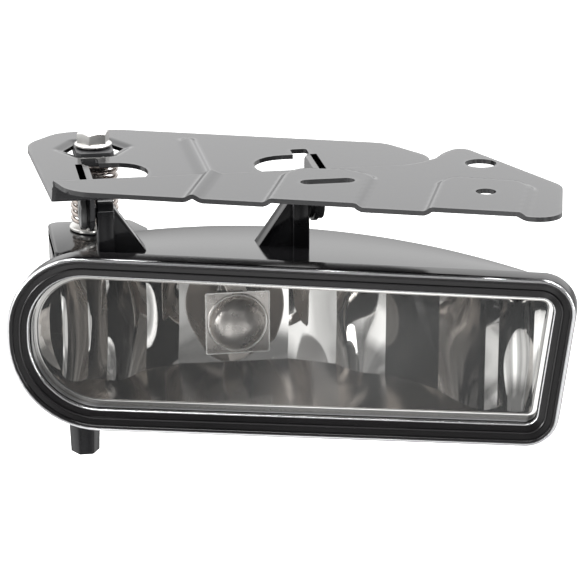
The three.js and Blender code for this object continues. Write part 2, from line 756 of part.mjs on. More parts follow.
const EAR_LEFT = -64.5;
const EAR_REAR = 56;
const EAR_FRONT = 7;

function adjusterEar() {
  const wing = roundedShape([
    [EAR_LEFT, EAR_FRONT, 4],
    [-20, EAR_FRONT, 0],
    [-20, 40, 0],
    [-27, EAR_REAR, 8],
    [EAR_LEFT, EAR_REAR, 5],
  ]);
  const top = plate(wing, EAR_TOP - EAR_THICKNESS, EAR_TOP);
  const skirtHeight = 16;
  const skirt = block(2.4, 38, skirtHeight, EAR_LEFT + 1.2, 31, EAR_TOP - skirtHeight / 2);
  const web = block(2.4, 26, skirtHeight, -30, 40, EAR_TOP - skirtHeight / 2);
  return union([top, skirt, web]);
}

function socketRing() {
  const tube = (diameter, from, to, segments = 40) => {
    const geometry = new THREE.CylinderGeometry(diameter / 2, diameter / 2, to - from, segments);
    return solid(geometry.translate(BULB_X, (from + to) / 2, LENS_CENTRE.z));
  };
  const seat = BULB_SEAT_Y;
  const notch = [0, 1, 2].map((index) => {
    const slot = new THREE.BoxGeometry(7, 9, BULB_LUG_REACH + 0.8);
    slot.translate(0, 0, (BULB_LUG_REACH + 0.8) / 2).rotateY((index * 120 + 45) * DEGREE);
    return solid(slot.translate(BULB_X, seat - 3.5, LENS_CENTRE.z));
  });
  return {
    ring: tube(SOCKET_OUTSIDE, seat - 14, seat),
    bore: tube(SOCKET_BORE, seat - 40, seat + 1),
    groove: tube(2 * (BULB_LUG_REACH + 0.5), seat - 12, seat - 7),
    notch,
  };
}

function locatingPeg() {
  const length = 24;
  const prism = new THREE.CylinderGeometry(7.5, 6.6, length, 6);
  prism.rotateX(Math.PI / 2).rotateZ(20 * DEGREE);
  const base = -LENS_BOTTOM_LEFT + HOUSING_INSET + 5;
  const tip = new THREE.Matrix4().makeTranslation(-95.5, 21, base - length / 2);
  return solid(prism.applyMatrix4(tip).applyMatrix4(LENS_MATRIX));
}

const VENT_AT = new THREE.Vector3(62, 0, -38);
const VENT_SPIGOT = 7;
const VENT_LENGTH = 17;
const VENT_CAP_LENGTH = 9;

function ventSpigot(diameter, from, to) {
  const geometry = new THREE.CylinderGeometry(diameter / 2, diameter / 2, to - from, 20);
  return solid(geometry.translate(VENT_AT.x, (from + to) / 2, VENT_AT.z));
}

function housing() {
  const socket = socketRing();
  const bowl = housingSolid(HOUSING_INSET + 0.2, 0, CHANNEL_BACK + 1);
  const cavity = housingSolid(HOUSING_INSET + HOUSING_WALL, -HOUSING_WALL, CHANNEL_BACK + 4);
  const ventWall = wallBehind(VENT_AT.x);
  const spigot = ventSpigot(VENT_SPIGOT, ventWall - 5, ventWall + VENT_LENGTH);
  const rimRoom = solid(outlinePrism(-GAP, 5, CHANNEL_BACK)).transform(LENS_MATRIX.toArray());
  const fittings = union([pivotPost(-1), pivotPost(1), adjusterEar(), locatingPeg(), spigot]);
  const outside = bowl.add(fittings.subtract(rimRoom));
  const body = union([outside.subtract(cavity), lensChannel(), socket.ring]);
  const boltHole = disc(NUT_BORE + 0.6, -60, 0, ADJUSTER_AT.x, ADJUSTER_AT.y);
  const seatRoom = disc(SEAT_OUTSIDE + 2 * GAP, EAR_TOP, 0, ADJUSTER_AT.x, ADJUSTER_AT.y, 40);
  const nutRoom = disc(NUT_FOOT + 2 * GAP, -90, EAR_TOP - EAR_THICKNESS - 2 * GAP, ADJUSTER_AT.x, ADJUSTER_AT.y);
  const earBottom = EAR_TOP - EAR_THICKNESS;
  const pocket = hexPrism(NUT_FLATS + 2 * GAP, earBottom - 30, earBottom + NUT_POCKET, Math.PI / 6);
  const nutPocket = pocket.translate([ADJUSTER_AT.x, ADJUSTER_AT.y, 0]);
  const ventHole = ventSpigot(VENT_SPIGOT - 3, ventWall - 20, ventWall + VENT_LENGTH + 1);
  const cuts = [boltHole, seatRoom, nutRoom, nutPocket, socket.bore, socket.groove, ...socket.notch, ventHole];
  return subtract(body, cuts);
}

// rubber breather cap pushed over the vent spigot, built along Y from the wall
function ventCap() {
  const bore = VENT_SPIGOT / 2 + GAP;
  const profile = [
    [bore, VENT_LENGTH - VENT_CAP_LENGTH],
    [bore + 2.2, VENT_LENGTH - VENT_CAP_LENGTH],
    [bore + 2.6, VENT_LENGTH - VENT_CAP_LENGTH + 1],
    [bore + 2.2, VENT_LENGTH + 3],
    [bore + 0.6, VENT_LENGTH + 4],
    [0, VENT_LENGTH + 4],
    [0, VENT_LENGTH + GAP + 0.7],
    [bore, VENT_LENGTH + GAP + 0.7],
  ];
  return solid(lathe([...profile, profile[0]], 24));
}

// ---------------------------------------------------------------- optics

const FLUTE_EDGES = [-104, -94, -87, -72, -59, -10, 13, 37, 63, 91, 106];
const FLUTE_SAG = 1.6;

const REFLECTOR_LEAST_DEPTH = 15.5;
const REFLECTOR_END_DEPTH = 17;
const REFLECTOR_LEFT_SHOULDER = 22.6; // the bowl meets its end depth this far inside each end
const REFLECTOR_RIGHT_SHOULDER = 43.6;
const REFLECTOR_CUSP = 23.6 - LENS_LEFT; // the round outboard end folds back from this ridge
const CUSP_SLOPE = 0.55;

function bareReflectorCurve(along) {
  const left = LENS_LEFT + REFLECTOR_APEX - REFLECTOR_LEFT_SHOULDER;
  const right = LENS_RIGHT_TOP - REFLECTOR_APEX - REFLECTOR_RIGHT_SHOULDER;
  const depth = bowlPoint(along, REFLECTOR_APEX, REFLECTOR_DEPTH, left, right, REFLECTOR_DEPTH - REFLECTOR_END_DEPTH);
  const fold = Math.max(REFLECTOR_CUSP - along, 0) * CUSP_SLOPE;
  return Math.max(depth, REFLECTOR_LEAST_DEPTH) + fold;
}

// each flute bows forward between its two edges
function reflectorCurve(along) {
  const right = FLUTE_EDGES.findIndex((edge) => edge > along);
  if (right <= 0) {
    return bareReflectorCurve(along);
  }
  const from = FLUTE_EDGES[right - 1];
  const share = (along - from) / (FLUTE_EDGES[right] - from);
  return bareReflectorCurve(along) - FLUTE_SAG * 4 * share * (1 - share);
}

function reflectorBowl(curve, steps, inset, offset, front) {
  const bowl = plate(bowlShape(curve, -LENS_LEFT + 6.6, LENS_RIGHT_TOP - 12.6, steps, offset), -60, 60);
  const sleeve = solid(outlinePrism(inset, front, -HOUSING_DEPTH - 4, HOUSING_TAPER));
  return bowl.intersect(sleeve);
}

const MOUTH = CHANNEL_INNER_LIP + GAP; // reflector flange rests on the channel's inner wall

function reflector() {
  const outer = reflectorBowl(bareReflectorCurve, 32, REFLECTOR_INSET, REFLECTOR_WALL, MOUTH + REFLECTOR_WALL);
  const inner = reflectorBowl(reflectorCurve, 70, REFLECTOR_INSET + REFLECTOR_WALL, 0, MOUTH + 4);
  const flange = outlineRing([
    [9.2, MOUTH],
    [9.2, MOUTH + REFLECTOR_WALL],
    [REFLECTOR_INSET + 1.1, MOUTH + REFLECTOR_WALL],
    [REFLECTOR_INSET + 1.1, MOUTH],
  ]);
  const hole = new THREE.CylinderGeometry(BULB_HOLE / 2, BULB_HOLE / 2, 80, 32);
  hole.translate(BULB_X, 40, LENS_CENTRE.z).applyMatrix4(LENS_MATRIX.clone().invert());
  const shell = outer.subtract(inner).add(solid(flange));
  const rivetHoles = [-1, 1].map((side) => {
    const bore = new THREE.CylinderGeometry(1.8, 1.8, 40, 16);
    bore.translate(BULB_X, 30, LENS_CENTRE.z + side * SHIELD_LEG_Z).applyMatrix4(LENS_MATRIX.clone().invert());
    return solid(bore);
  });
  return subtract(shell, [solid(hole), ...rivetHoles]);
}

const SEAL_FRONT = CHANNEL_FLOOR + GAP + 1.8;

function lens() {
  const back = LENS_FACE - LENS_GLASS;
  const face = solid(outlinePrism(4.4, LENS_FACE, back));
  const skirt = solid(outlineRing([
    [4.4, LENS_FACE - 0.5],
    [4.4, SEAL_FRONT + GAP],
    [7.6, SEAL_FRONT + GAP],
    [7.6, LENS_FACE - 0.5],
  ]));
  return face.add(skirt);
}

function lensSeal() {
  return solid(outlineRing([
    [HOUSING_INSET + CHANNEL_WALL + GAP, CHANNEL_FLOOR + GAP],
    [HOUSING_INSET + CHANNEL_WALL + GAP, SEAL_FRONT],
    [8.6, SEAL_FRONT],
    [8.6, CHANNEL_FLOOR + GAP],
  ]));
}

// stepped rim: outer roll, flat, bright line ridge and inner lip
function bezel() {
  const lip = LENS_FACE + GAP;
  return solid(outlineRing([
    [0, -BEZEL_DEPTH],
    [0, -1.8],
    [0.5, -0.6],
    [1.6, 0],
    [2.6, -0.3],
    [3.1, -1.4],
    [5.3, -1.8],
    [5.6, -1.3],
    [6.1, -1.3],
    [6.4, -2.4],
    [8.3, -2.9],
    [BEZEL_FACE, lip + 1],
    [BEZEL_FACE, lip],
    [6.4, lip],
    [4.2, lip + 1.2],
    [BEZEL_WALL, -3.4],
    [BEZEL_WALL, -BEZEL_DEPTH],
  ]));
}

const SHIELD_LEG_Z = 11.2;
const SHIELD_LEG_LENGTH = 23.6;
const SHIELD_DOME_RISE = 8.5;

// pressed glare shield: domed square plate on two legs that run back to the reflector
function bulbShield() {
  const half = SHIELD_SQUARE / 2;
  const radius = SHIELD_DOME / 2 - 0.6;
  const steps = 5;
  const cap = (reach, rise, shift) => {
    const profile = [[0, shift - 0.4]];
    profile.push([reach, shift - 0.4]);
    for (let step = 0; step <= steps; step += 1) {
      const angle = (step / steps) * (Math.PI / 2);
      profile.push([reach * Math.cos(angle), shift + rise * Math.sin(angle)]);
    }
    return lathe(profile, 28);
  };
  const square = roundedShape([
    [-half, -half, 1],
    [half, -half, 1],
    [half, half, 1],
    [-half, half, 1],
  ]);
  const face = plate(square, 0, SHIELD_SHEET);
  const outerCap = solid(cap(radius, SHIELD_DOME_RISE, SHIELD_SHEET));
  const innerCap = solid(cap(radius - SHIELD_SHEET, SHIELD_DOME_RISE - SHIELD_SHEET, SHIELD_SHEET));
  const hollow = innerCap.add(disc(2 * (radius - SHIELD_SHEET), -1, SHIELD_SHEET + 0.01, 0, 0, 28));
  const legLength = SHIELD_LEG_LENGTH;
  const legs = [-1, 1].map((side) => {
    return block(9, SHIELD_SHEET, legLength, 0, side * (half - SHIELD_SHEET / 2), SHIELD_SHEET / 2 - legLength / 2);
  });
  const feet = [-1, 1].map((side) => {
    return block(9, 7, SHIELD_SHEET, 0, side * (half - 3.5), SHIELD_SHEET / 2 - legLength);
  });
  const holes = [-1, 1].map((side) => disc(3, -60, -5, 0, side * SHIELD_LEG_Z, 16));
  return subtract(union([face, outerCap]).subtract(hollow).add(union([...legs, ...feet])), holes);
}

// ---------------------------------------------------------------- bulb, along its own +Z, seat at 0

const BULB_TIP = 40;
const COLLAR_FROM = 12;
const COLLAR_TO = 19;

const SEAL_GROOVE = 1.6;
const SEAL_SECTION = 1.6;

function bulbBase() {
  const body = lathe([
    [0, -5],
    [15, -5],
    [15, -GAP],
    [BULB_BASE / 2 - SEAL_GROOVE, -GAP],
    [BULB_BASE / 2 - SEAL_GROOVE, 3.2],
    [BULB_BASE / 2, 3.4],
    [BULB_BASE / 2, COLLAR_FROM - GAP],
    [0, COLLAR_FROM - GAP],
  ], 40);
  const lugs = [0, 1, 2].map((index) => {
    const lug = new THREE.BoxGeometry(5.6, BULB_LUG_REACH - 4, 3.4);
    lug.translate(0, (BULB_LUG_REACH + 4) / 2 - 0.2, 9.6).rotateZ(index * 120 * DEGREE);
    return solid(lug);
  });
  const shroud = block(21, 13, 17, 0, 0, -13);
  const mouth = block(17.6, 9.6, 14, 0, 0, -15.5);
  const latch = block(6, 3, 8, 0, 7.4, -15);
  const core = disc(8.6, 2, COLLAR_FROM + 5);
  const slots = [-1, 1].map((side) => block(1.2, 6.8, 30, side * 4.2, 0, -8));
  return subtract(union([solid(body), ...lugs, shroud, latch]).subtract(mouth), [core, ...slots]);
}

function bulbSeal() {
  const centre = BULB_BASE / 2 - SEAL_GROOVE + 0.1 + SEAL_SECTION / 2;
  const section = circleShape(SEAL_SECTION, 8).getPoints().map((point) => [centre + point.x, 1.5 + point.y]);
  return solid(lathe([...section, section[0]], 24));
}

function bulbCollar() {
  const inside = BULB_COLLAR / 2 - 0.6;
  return solid(lathe([
    [BULB_COLLAR / 2, COLLAR_FROM],
    [BULB_COLLAR / 2, COLLAR_TO],
    [inside, COLLAR_TO],
    [inside, COLLAR_FROM + 0.8],
    [4.6, COLLAR_FROM + 0.8],
    [4.6, COLLAR_FROM],
    [BULB_COLLAR / 2, COLLAR_FROM],
  ]));
}

function bulbGlass() {
  const outside = BULB_GLASS / 2;
  const wall = 0.9;
  const shoulder = BULB_TIP - outside;
  const dome = (radius, from, to, steps = 6) => Array.from({ length: steps + 1 }, (_, step) => {
    const angle = from + ((to - from) * step) / steps;
    return [Math.max(radius * Math.cos(angle), 0), shoulder + radius * Math.sin(angle)];
  });
  const start = COLLAR_FROM + 1.4;
  const outer = dome(outside, 0, Math.PI / 2);
  const inner = dome(outside - wall, Math.PI / 2, 0);
  const profile = [[outside - wall, start], [outside, start], ...outer, ...inner, [outside - wall, start]];
  return solid(lathe(profile, 20));
}

// one wire: up a lead, round the coil and back down the other lead
function bulbFilament() {
  const coilRadius = 0.9;
  const coilTurns = 5;
  const spread = 2.4;
  const height = 30;
  const points = [new THREE.Vector3(-spread, 0, 4), new THREE.Vector3(-spread, 0, 16)];
  points.push(new THREE.Vector3(-spread, 0, height - 1.5));
  const steps = coilTurns * 8;
  for (let step = 0; step <= steps; step += 1) {
    const angle = (step / 8) * 2 * Math.PI + Math.PI;
    const x = -1.9 + (3.8 * step) / steps;
    points.push(new THREE.Vector3(x, coilRadius * Math.sin(angle), height + coilRadius * Math.cos(angle)));
  }
  points.push(new THREE.Vector3(spread, 0, height - 1.5), new THREE.Vector3(spread, 0, 16));
  points.push(new THREE.Vector3(spread, 0, 4));
  const path = new THREE.CatmullRomCurve3(points, false, 'centripetal');
  return solid(wire(path, 0.36, 4, 76));
}

function bulbTerminal(side) {
  const top = 1.4;
  return block(0.8, 6.3, 19 + top, side * 4.2, 0, top - (19 + top) / 2);
}

const RIVET_HEAD = 4.4;
const RIVET_SHANK = 2.6;

function shieldRivet() {
  return union([
    disc(RIVET_SHANK, -5.8, SHIELD_SHEET + GAP + 0.1, 0, 0, 16),
    disc(RIVET_HEAD, SHIELD_SHEET + GAP, SHIELD_SHEET + GAP + 1, 0, 0, 16),
    disc(RIVET_HEAD, -6.7, -5.7, 0, 0, 16),
  ]);
}

// ---------------------------------------------------------------- assembly

function part(name, body, look, parent, x = 0, y = 0, z = 0) {
  const geometry = body instanceof THREE.BufferGeometry ? body : geometryOf(body);
  const mesh = new THREE.Mesh(geometry, new THREE.MeshStandardMaterial(look));
  mesh.name = name;
  mesh.position.set(x, y, z);
  parent.add(mesh);
  return mesh;
}

const fogLight = new THREE.Group();
fogLight.position.set(-FIXING_HOLE_AT.x, -FIXING_HOLE_AT.y + MOUNT_AHEAD, -PAD_TOP);

const fixed = new THREE.Group();
part('mounting_bracket', mountingBracket(), GLOSS_STEEL, fixed);
part('pivot_bush_left', pivotBush(), BLACK_NYLON, fixed, -TAB_X);
part('pivot_bush_right', pivotBush(), BLACK_NYLON, fixed, TAB_X);

const adjuster = new THREE.Group();
adjuster.position.set(ADJUSTER_AT.x, ADJUSTER_AT.y, 0);
part('adjuster_grommet', adjusterGrommet(), BLACK_NYLON, adjuster);
part('adjuster_bolt', adjusterBolt(), ZINC, adjuster);
part('adjuster_clip', boltClip(), SPRING_STEEL, adjuster);
part('adjuster_spring', adjusterSpring(), SPRING_STEEL, adjuster);
part('spring_seat', springSeat(), ZINC, adjuster);
part('adjuster_nut', adjusterNut(), ZINC, adjuster);

const lamp = new THREE.Group();
part('housing', housing(), BLACK_MOULDING, lamp);
const leftPin = part('pivot_pin_left', pivotPin(), ZINC, lamp, -TAB_X);
leftPin.rotation.z = Math.PI;
part('pivot_pin_right', pivotPin(), ZINC, lamp, TAB_X);
const cap = part('vent_cap', ventCap(), RUBBER, lamp, VENT_AT.x, wallBehind(VENT_AT.x), VENT_AT.z);
cap.rotation.x = -Math.PI / 2;

const optics = new THREE.Group();
optics.applyMatrix4(LENS_MATRIX);
part('bezel', bezel(), BLACK_MOULDING, optics);
part('lens', lens(), CLEAR, optics);
part('lens_seal', lensSeal(), RUBBER, optics);
part('reflector', reflector(), CHROME, optics);

// the bulb's own +Z points forward, along -Y of the lamp
const bulb = new THREE.Group();
bulb.position.set(BULB_X, BULB_SEAT_Y, LENS_CENTRE.z);
bulb.rotation.x = Math.PI / 2;
part('bulb_base', bulbBase(), BLACK_NYLON, bulb);
part('bulb_seal', bulbSeal(), RUBBER, bulb);
part('bulb_collar', bulbCollar(), ZINC, bulb);
part('bulb_glass', bulbGlass(), CLEAR, bulb);
part('bulb_filament', bulbFilament(), TUNGSTEN, bulb);
part('bulb_terminal_left', bulbTerminal(-1), BRASS, bulb);
part('bulb_terminal_right', bulbTerminal(1), BRASS, bulb);

const shield = new THREE.Group();
shield.position.set(BULB_X, SHIELD_Y, LENS_CENTRE.z);
shield.rotation.x = Math.PI / 2;
part('bulb_shield', bulbShield(), SATIN_CHROME, shield);
const rivetZ = -SHIELD_LEG_LENGTH;
part('shield_rivet_lower', shieldRivet(), ZINC, shield, 0, -SHIELD_LEG_Z, rivetZ);
part('shield_rivet_upper', shieldRivet(), ZINC, shield, 0, SHIELD_LEG_Z, rivetZ);

lamp.add(optics, bulb, shield);
fogLight.add(fixed, adjuster, lamp);
fogLight.updateMatrixWorld(true);

export default fogLight;
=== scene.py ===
import math

import bmesh
import bpy
import numpy as np
from mathutils import Matrix, Vector, geometry


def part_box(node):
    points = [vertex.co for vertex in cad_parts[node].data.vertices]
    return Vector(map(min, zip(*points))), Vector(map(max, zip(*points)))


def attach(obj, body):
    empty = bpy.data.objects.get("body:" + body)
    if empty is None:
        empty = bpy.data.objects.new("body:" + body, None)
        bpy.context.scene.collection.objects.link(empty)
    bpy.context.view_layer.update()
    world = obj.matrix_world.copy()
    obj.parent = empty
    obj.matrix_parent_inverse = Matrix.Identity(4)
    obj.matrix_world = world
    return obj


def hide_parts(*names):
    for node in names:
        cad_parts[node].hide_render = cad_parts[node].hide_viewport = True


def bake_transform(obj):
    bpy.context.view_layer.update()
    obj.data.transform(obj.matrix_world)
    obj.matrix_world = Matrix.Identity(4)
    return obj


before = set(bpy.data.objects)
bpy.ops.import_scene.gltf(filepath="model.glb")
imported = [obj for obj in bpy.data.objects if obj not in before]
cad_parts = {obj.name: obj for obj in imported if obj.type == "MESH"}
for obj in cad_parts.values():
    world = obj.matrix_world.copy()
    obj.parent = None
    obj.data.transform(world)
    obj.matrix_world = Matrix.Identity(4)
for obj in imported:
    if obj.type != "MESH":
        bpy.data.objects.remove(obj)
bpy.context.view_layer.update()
MM = 0.001


# Studio: a pale floor far below the hanging lamp, a soft box behind it and one overhead,
# and a dim front with two tall bright strips, which is what the mirror surfaces show.
LEFT_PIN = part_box("pivot_pin_left")
RIGHT_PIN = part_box("pivot_pin_right")
TILT_AXIS = Vector((
    (LEFT_PIN[0].x + RIGHT_PIN[1].x) / 2,
    (LEFT_PIN[0].y + LEFT_PIN[1].y) / 2,
    (LEFT_PIN[0].z + LEFT_PIN[1].z) / 2,
))
TO_ROW = Matrix.Translation(TILT_AXIS) @ Matrix.Scale(MM, 4)
AIM = TO_ROW @ Vector((36.5, -20, -35))
CAMERA_AZIMUTH = math.radians(-9.6)
CAMERA_ELEVATION = math.radians(18.5)
CAMERA_DISTANCE = 1.1
FOCAL_PIXELS = 2500
PICTURE_PIXELS = 582

camera_data = bpy.data.cameras.new("studio_camera")
camera_data.sensor_width = 36
camera_data.lens = FOCAL_PIXELS / PICTURE_PIXELS * camera_data.sensor_width
camera_data.clip_end = 50
camera = bpy.data.objects.new("studio_camera", camera_data)
bpy.context.scene.collection.objects.link(camera)
bpy.context.scene.camera = camera
outward = Vector((
    math.sin(CAMERA_AZIMUTH) * math.cos(CAMERA_ELEVATION),
    -math.cos(CAMERA_AZIMUTH) * math.cos(CAMERA_ELEVATION),
    math.sin(CAMERA_ELEVATION),
))
camera.location = AIM + CAMERA_DISTANCE * outward
camera.rotation_euler = (-outward).to_track_quat("-Z", "Y").to_euler()


for label, place, width, height, power in (
    ("overhead_box", (0.1, 0.3, 1.5), 1.6, 1.2, 26), ("edge_strip", (0.0, -0.45, 1.4), 2.4, 0.16, 22),
    ("left_box", (-1.5, -0.5, 0.5), 0.16, 1.3, 12), ("right_box", (1.4, -0.9, 0.3), 0.16, 1.1, 10),
):
    light = bpy.data.lights.new(label, "AREA")
    light.shape = "RECTANGLE"
    light.size, light.size_y, light.energy = width, height, power
    soft_box = bpy.data.objects.new(label, light)
    soft_box.location = AIM + Vector(place)
    soft_box.rotation_euler = (-Vector(place)).to_track_quat("-Z", "Y").to_euler()
    bpy.context.scene.collection.objects.link(soft_box)

world = bpy.data.worlds.new("studio_air")
bpy.context.scene.world = world
world.use_nodes = True
air = world.node_tree
air.nodes.clear()


def air_math(operation, *values):
    node = air.nodes.new("ShaderNodeMath")
    node.operation = operation
    for socket, value in zip(node.inputs, values):
        if isinstance(value, (int, float)):
            socket.default_value = value
        else:
            air.links.new(value, socket)
    return node.outputs[0]


def air_ramp(source, stops):
    """Brightness along one axis of the direction, as pairs of (place from 0 to 1, level)."""
    ramp = air.nodes.new("ShaderNodeValToRGB")
    elements = ramp.color_ramp.elements
    for position, level in stops:
        stop = elements[-int(position)] if position in (0, 1) else elements.new(position)
        stop.color = (level, level, level, 1)
    air.links.new(air_math("MULTIPLY_ADD", source, 0.5, 0.5), ramp.inputs[0])
    return ramp.outputs[0]


WALL_POWER = 1.9
DIM_AIR = 0.09
direction = air.nodes.new("ShaderNodeTexCoord")
split = air.nodes.new("ShaderNodeSeparateXYZ")
air.links.new(direction.outputs["Generated"], split.inputs[0])
behind = air_ramp(split.outputs["Y"], [(0, 0), (0.5, 0.0), (0.62, 1), (1, 1)])
rising = air_ramp(split.outputs["Z"], [(0, 0.0), (0.49, 0.02), (0.56, 0.95), (0.8, 1), (1, 0.6)])
strips = air_ramp(split.outputs["X"], [
    (0, 0.75), (0.10, 0.9), (0.13, 0.5), (0.2, 0.34), (0.24, 0.45), (0.27, 1), (0.33, 1),
    (0.36, 0.5), (0.44, 0.28), (0.48, 0.5), (0.53, 0.45), (0.57, 0.22), (0.62, 0.4), (0.65, 1),
    (0.72, 1), (0.75, 0.5), (0.85, 0.26), (0.89, 0.75), (1, 0.6),
])
falling = air_ramp(split.outputs["Z"], [
    (0, 0.7), (0.3, 1), (0.42, 0.9), (0.485, 0.35), (0.52, 0.14), (0.72, 0.16), (0.8, 0.5), (1, 0.4)])
walls = air_math("ADD", air_math("MULTIPLY", behind, rising), air_math("MULTIPLY", strips, falling))
shine = air.nodes.new("ShaderNodeBackground")
air.links.new(air_math("MULTIPLY_ADD", walls, WALL_POWER, DIM_AIR), shine.inputs["Strength"])
sky = air.nodes.new("ShaderNodeOutputWorld")
air.links.new(shine.outputs[0], sky.inputs[0])

FLOOR_DROP = 0.42
FLOOR_HALF = 40
floor_mesh = bpy.data.meshes.new("floor")
floor_mesh.from_pydata(
    [(x * FLOOR_HALF, y * FLOOR_HALF, 0) for x, y in ((-1, -1), (1, -1), (1, 1), (-1, 1))],
    [], [(0, 1, 2, 3)])
floor_mesh.transform(Matrix.Translation(AIM - Vector((0, 0, FLOOR_DROP))))
floor = bpy.data.objects.new("floor", floor_mesh)
bpy.context.scene.collection.objects.link(floor)
pale = bpy.data.materials.new("pale_floor")
pale.use_nodes = True
for label, value in {"Base Color": (0.9, 0.9, 0.9, 1), "Roughness": 0.9,
                     "Emission Color": (1, 1, 1, 1), "Emission Strength": 0.6}.items():
    pale.node_tree.nodes["Principled BSDF"].inputs[label].default_value = value
floor_mesh.materials.append(pale)
floor.visible_glossy = False
bpy.context.scene.view_settings.view_transform = "Standard"


# Mounting bracket: one sheet of 2 mm steel, pressed to two levels with a joggle between,
# two raised pads, a stiffening bead and a dimpled hexagonal hole, painted gloss black.
# The two half-round tabs that carry the lamp are folded down out of their windows.
SHEET = 2.0
REAR_LEVEL = 17.0
JOGGLE_RISE = 8.5
PAD_RISE = 1.8
JOGGLE_RUN = 4.2
PAD_RUN = 3.4
FRONT_SLANT = 0.36
BEAD_RISE = 1.7
BEAD_HALF = 4.6
BEAD_END = 53
DIMPLE = 1.1
RELIEF_DEPTH = 0.0002
SWEEP = math.tan(math.radians(20.6))
FRONT_CORNER = (-35.8, -65.5)
REAR_CORNER = (-30.4, 73.7)
HEX_AT = (-43.5, 43.0)
HEX_FLATS = 23.8
TAB_X = 49.5
TAB_HALF = 16.0


def add(tree, kind, links=(), **settings):
    """New node with its settings, and links given as (source, name of its input)."""
    node = tree.nodes.new(kind)
    for key, value in settings.items():
        if key in node.inputs:
            node.inputs[key].default_value = value
        else:
            setattr(node, key, value)
    for source, target in links:
        tree.links.new(source, node.inputs[target])
    return node


def finish(name, colour, roughness, metal=0.0, spread=0.25, grain=900, bump=0.02,
           cloud=35, wear=None, wear_level=0.6, streak=None, ior=1.5):
    """Procedural surface: clouded colour, uneven roughness, fine grain and lighter edges."""
    material = bpy.data.materials.new(name)
    material.use_nodes = True
    tree = material.node_tree
    shader = tree.nodes["Principled BSDF"]
    shader.inputs["Metallic"].default_value = metal
    shader.inputs["IOR"].default_value = ior
    place = add(tree, "ShaderNodeTexCoord").outputs["Object"]
    if streak:
        place = add(tree, "ShaderNodeMapping", [(place, "Vector")], Scale=streak).outputs[0]
    clouds = add(tree, "ShaderNodeTexNoise", [(place, "Vector")], Scale=cloud, Detail=5).outputs["Fac"]
    fine = add(tree, "ShaderNodeTexNoise", [(place, "Vector")], Scale=grain, Detail=3).outputs["Fac"]
    dark = [c * (1 - spread) for c in colour]
    light = [min(c * (1 + spread), 1) for c in colour]
    shade = add(tree, "ShaderNodeMix", [(clouds, "Factor")], data_type="RGBA",
                A=(*dark, 1), B=(*light, 1)).outputs["Result"]
    if wear:
        edge = add(tree, "ShaderNodeNewGeometry").outputs["Pointiness"]
        worn = add(tree, "ShaderNodeMapRange", [(edge, "Value")],
                   **{"From Min": 0.53, "From Max": 0.64, "To Max": wear_level})
        patchy = add(tree, "ShaderNodeMath", [(worn.outputs[0], 0), (clouds, 1)], operation="MULTIPLY")
        shade = add(tree, "ShaderNodeMix", [(patchy.outputs[0], "Factor"), (shade, "A")],
                    data_type="RGBA", B=(*wear, 1)).outputs["Result"]
    uneven = add(tree, "ShaderNodeMapRange", [(clouds, "Value")],
                 **{"To Min": roughness * 0.75, "To Max": min(roughness * 1.3, 1)})
    relief = add(tree, "ShaderNodeBump", [(fine, "Height")], Strength=bump, Distance=RELIEF_DEPTH)
    tree.links.new(shade, shader.inputs["Base Color"])
    tree.links.new(uneven.outputs[0], shader.inputs["Roughness"])
    tree.links.new(relief.outputs[0], shader.inputs["Normal"])
    return material


def place_piece(name, mesh, material, body, stands_for=(), matrix=TO_ROW, crease=35):
    """Turns a mesh in millimetres into a finished piece on its body."""
    mesh.transform(matrix)
    mesh.update()
    part_of = [face.material_index for face in mesh.polygons]
    mesh.materials.clear()
    for layer in material if isinstance(material, (list, tuple)) else [material]:
        mesh.materials.append(layer)
    if len(mesh.materials) > 1:
        mesh.polygons.foreach_set("material_index", part_of)
    if crease:
        mesh.shade_smooth()
        mesh.set_sharp_from_angle(angle=math.radians(crease))
    piece = bpy.data.objects.new(name, mesh)
    bpy.context.scene.collection.objects.link(piece)
    if body:
        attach(piece, body)
    if stands_for:
        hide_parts(*stands_for)
    return piece


def mesh_of(name, points, faces):
    mesh = bpy.data.meshes.new(name)
    mesh.from_pydata([tuple(p) for p in points], [], [tuple(f) for f in faces])
    return mesh


def joined(name, *meshes):
    shape = bmesh.new()
    for mesh in meshes:
        shape.from_mesh(mesh)
    mesh = bpy.data.meshes.new(name)
    shape.to_mesh(mesh)
    shape.free()
    return mesh


def applied(mesh, *modifiers):
    """Mesh with the given modifiers worked into it, in order."""
    holder = bpy.data.objects.new(mesh.name, mesh)
    bpy.context.scene.collection.objects.link(holder)
    for kind, settings in modifiers:
        modifier = holder.modifiers.new(kind.lower(), kind)
        for key, value in settings.items():
            if hasattr(modifier, key):
                setattr(modifier, key, value)
            else:
                modifier[key] = value
    graph = bpy.context.evaluated_depsgraph_get()
    made = bpy.data.meshes.new_from_object(holder.evaluated_get(graph), depsgraph=graph)
    bpy.data.objects.remove(holder)
    return made


def corner_of(corners, index):
    """One corner of a loop, the ways back and ahead from it, and half the angle between them."""
    here = Vector(corners[index][:2])
    back = (Vector(corners[index - 1][:2]) - here).normalized()
    ahead = (Vector(corners[(index + 1) % len(corners)][:2]) - here).normalized()
    return here, back, ahead, math.acos(max(-1, min(1, back.dot(ahead)))) / 2


def rounded(corners, steps=8):
    """Closed loop through corners given as (x, y, radius)."""
    loop = []
    for index, (*_, radius) in enumerate(corners):
        here, back, ahead, half = corner_of(corners, index)
        if radius == 0:
            loop.append(here)
            continue
        centre = here + (back + ahead).normalized() * radius / math.sin(half)
        start = here + back * radius / math.tan(half) - centre
        sweep = (math.pi - 2 * half) * (1 if back.x * ahead.y - back.y * ahead.x < 0 else -1)
        loop += [centre + Matrix.Rotation(sweep * step / steps, 2) @ start for step in range(steps + 1)]
    return loop


def ring_loop(x, y, diameter, count=40):
    angles = [2 * math.pi * i / count for i in range(count)]
    return [Vector((x + diameter / 2 * math.cos(a), y + diameter / 2 * math.sin(a))) for a in angles]


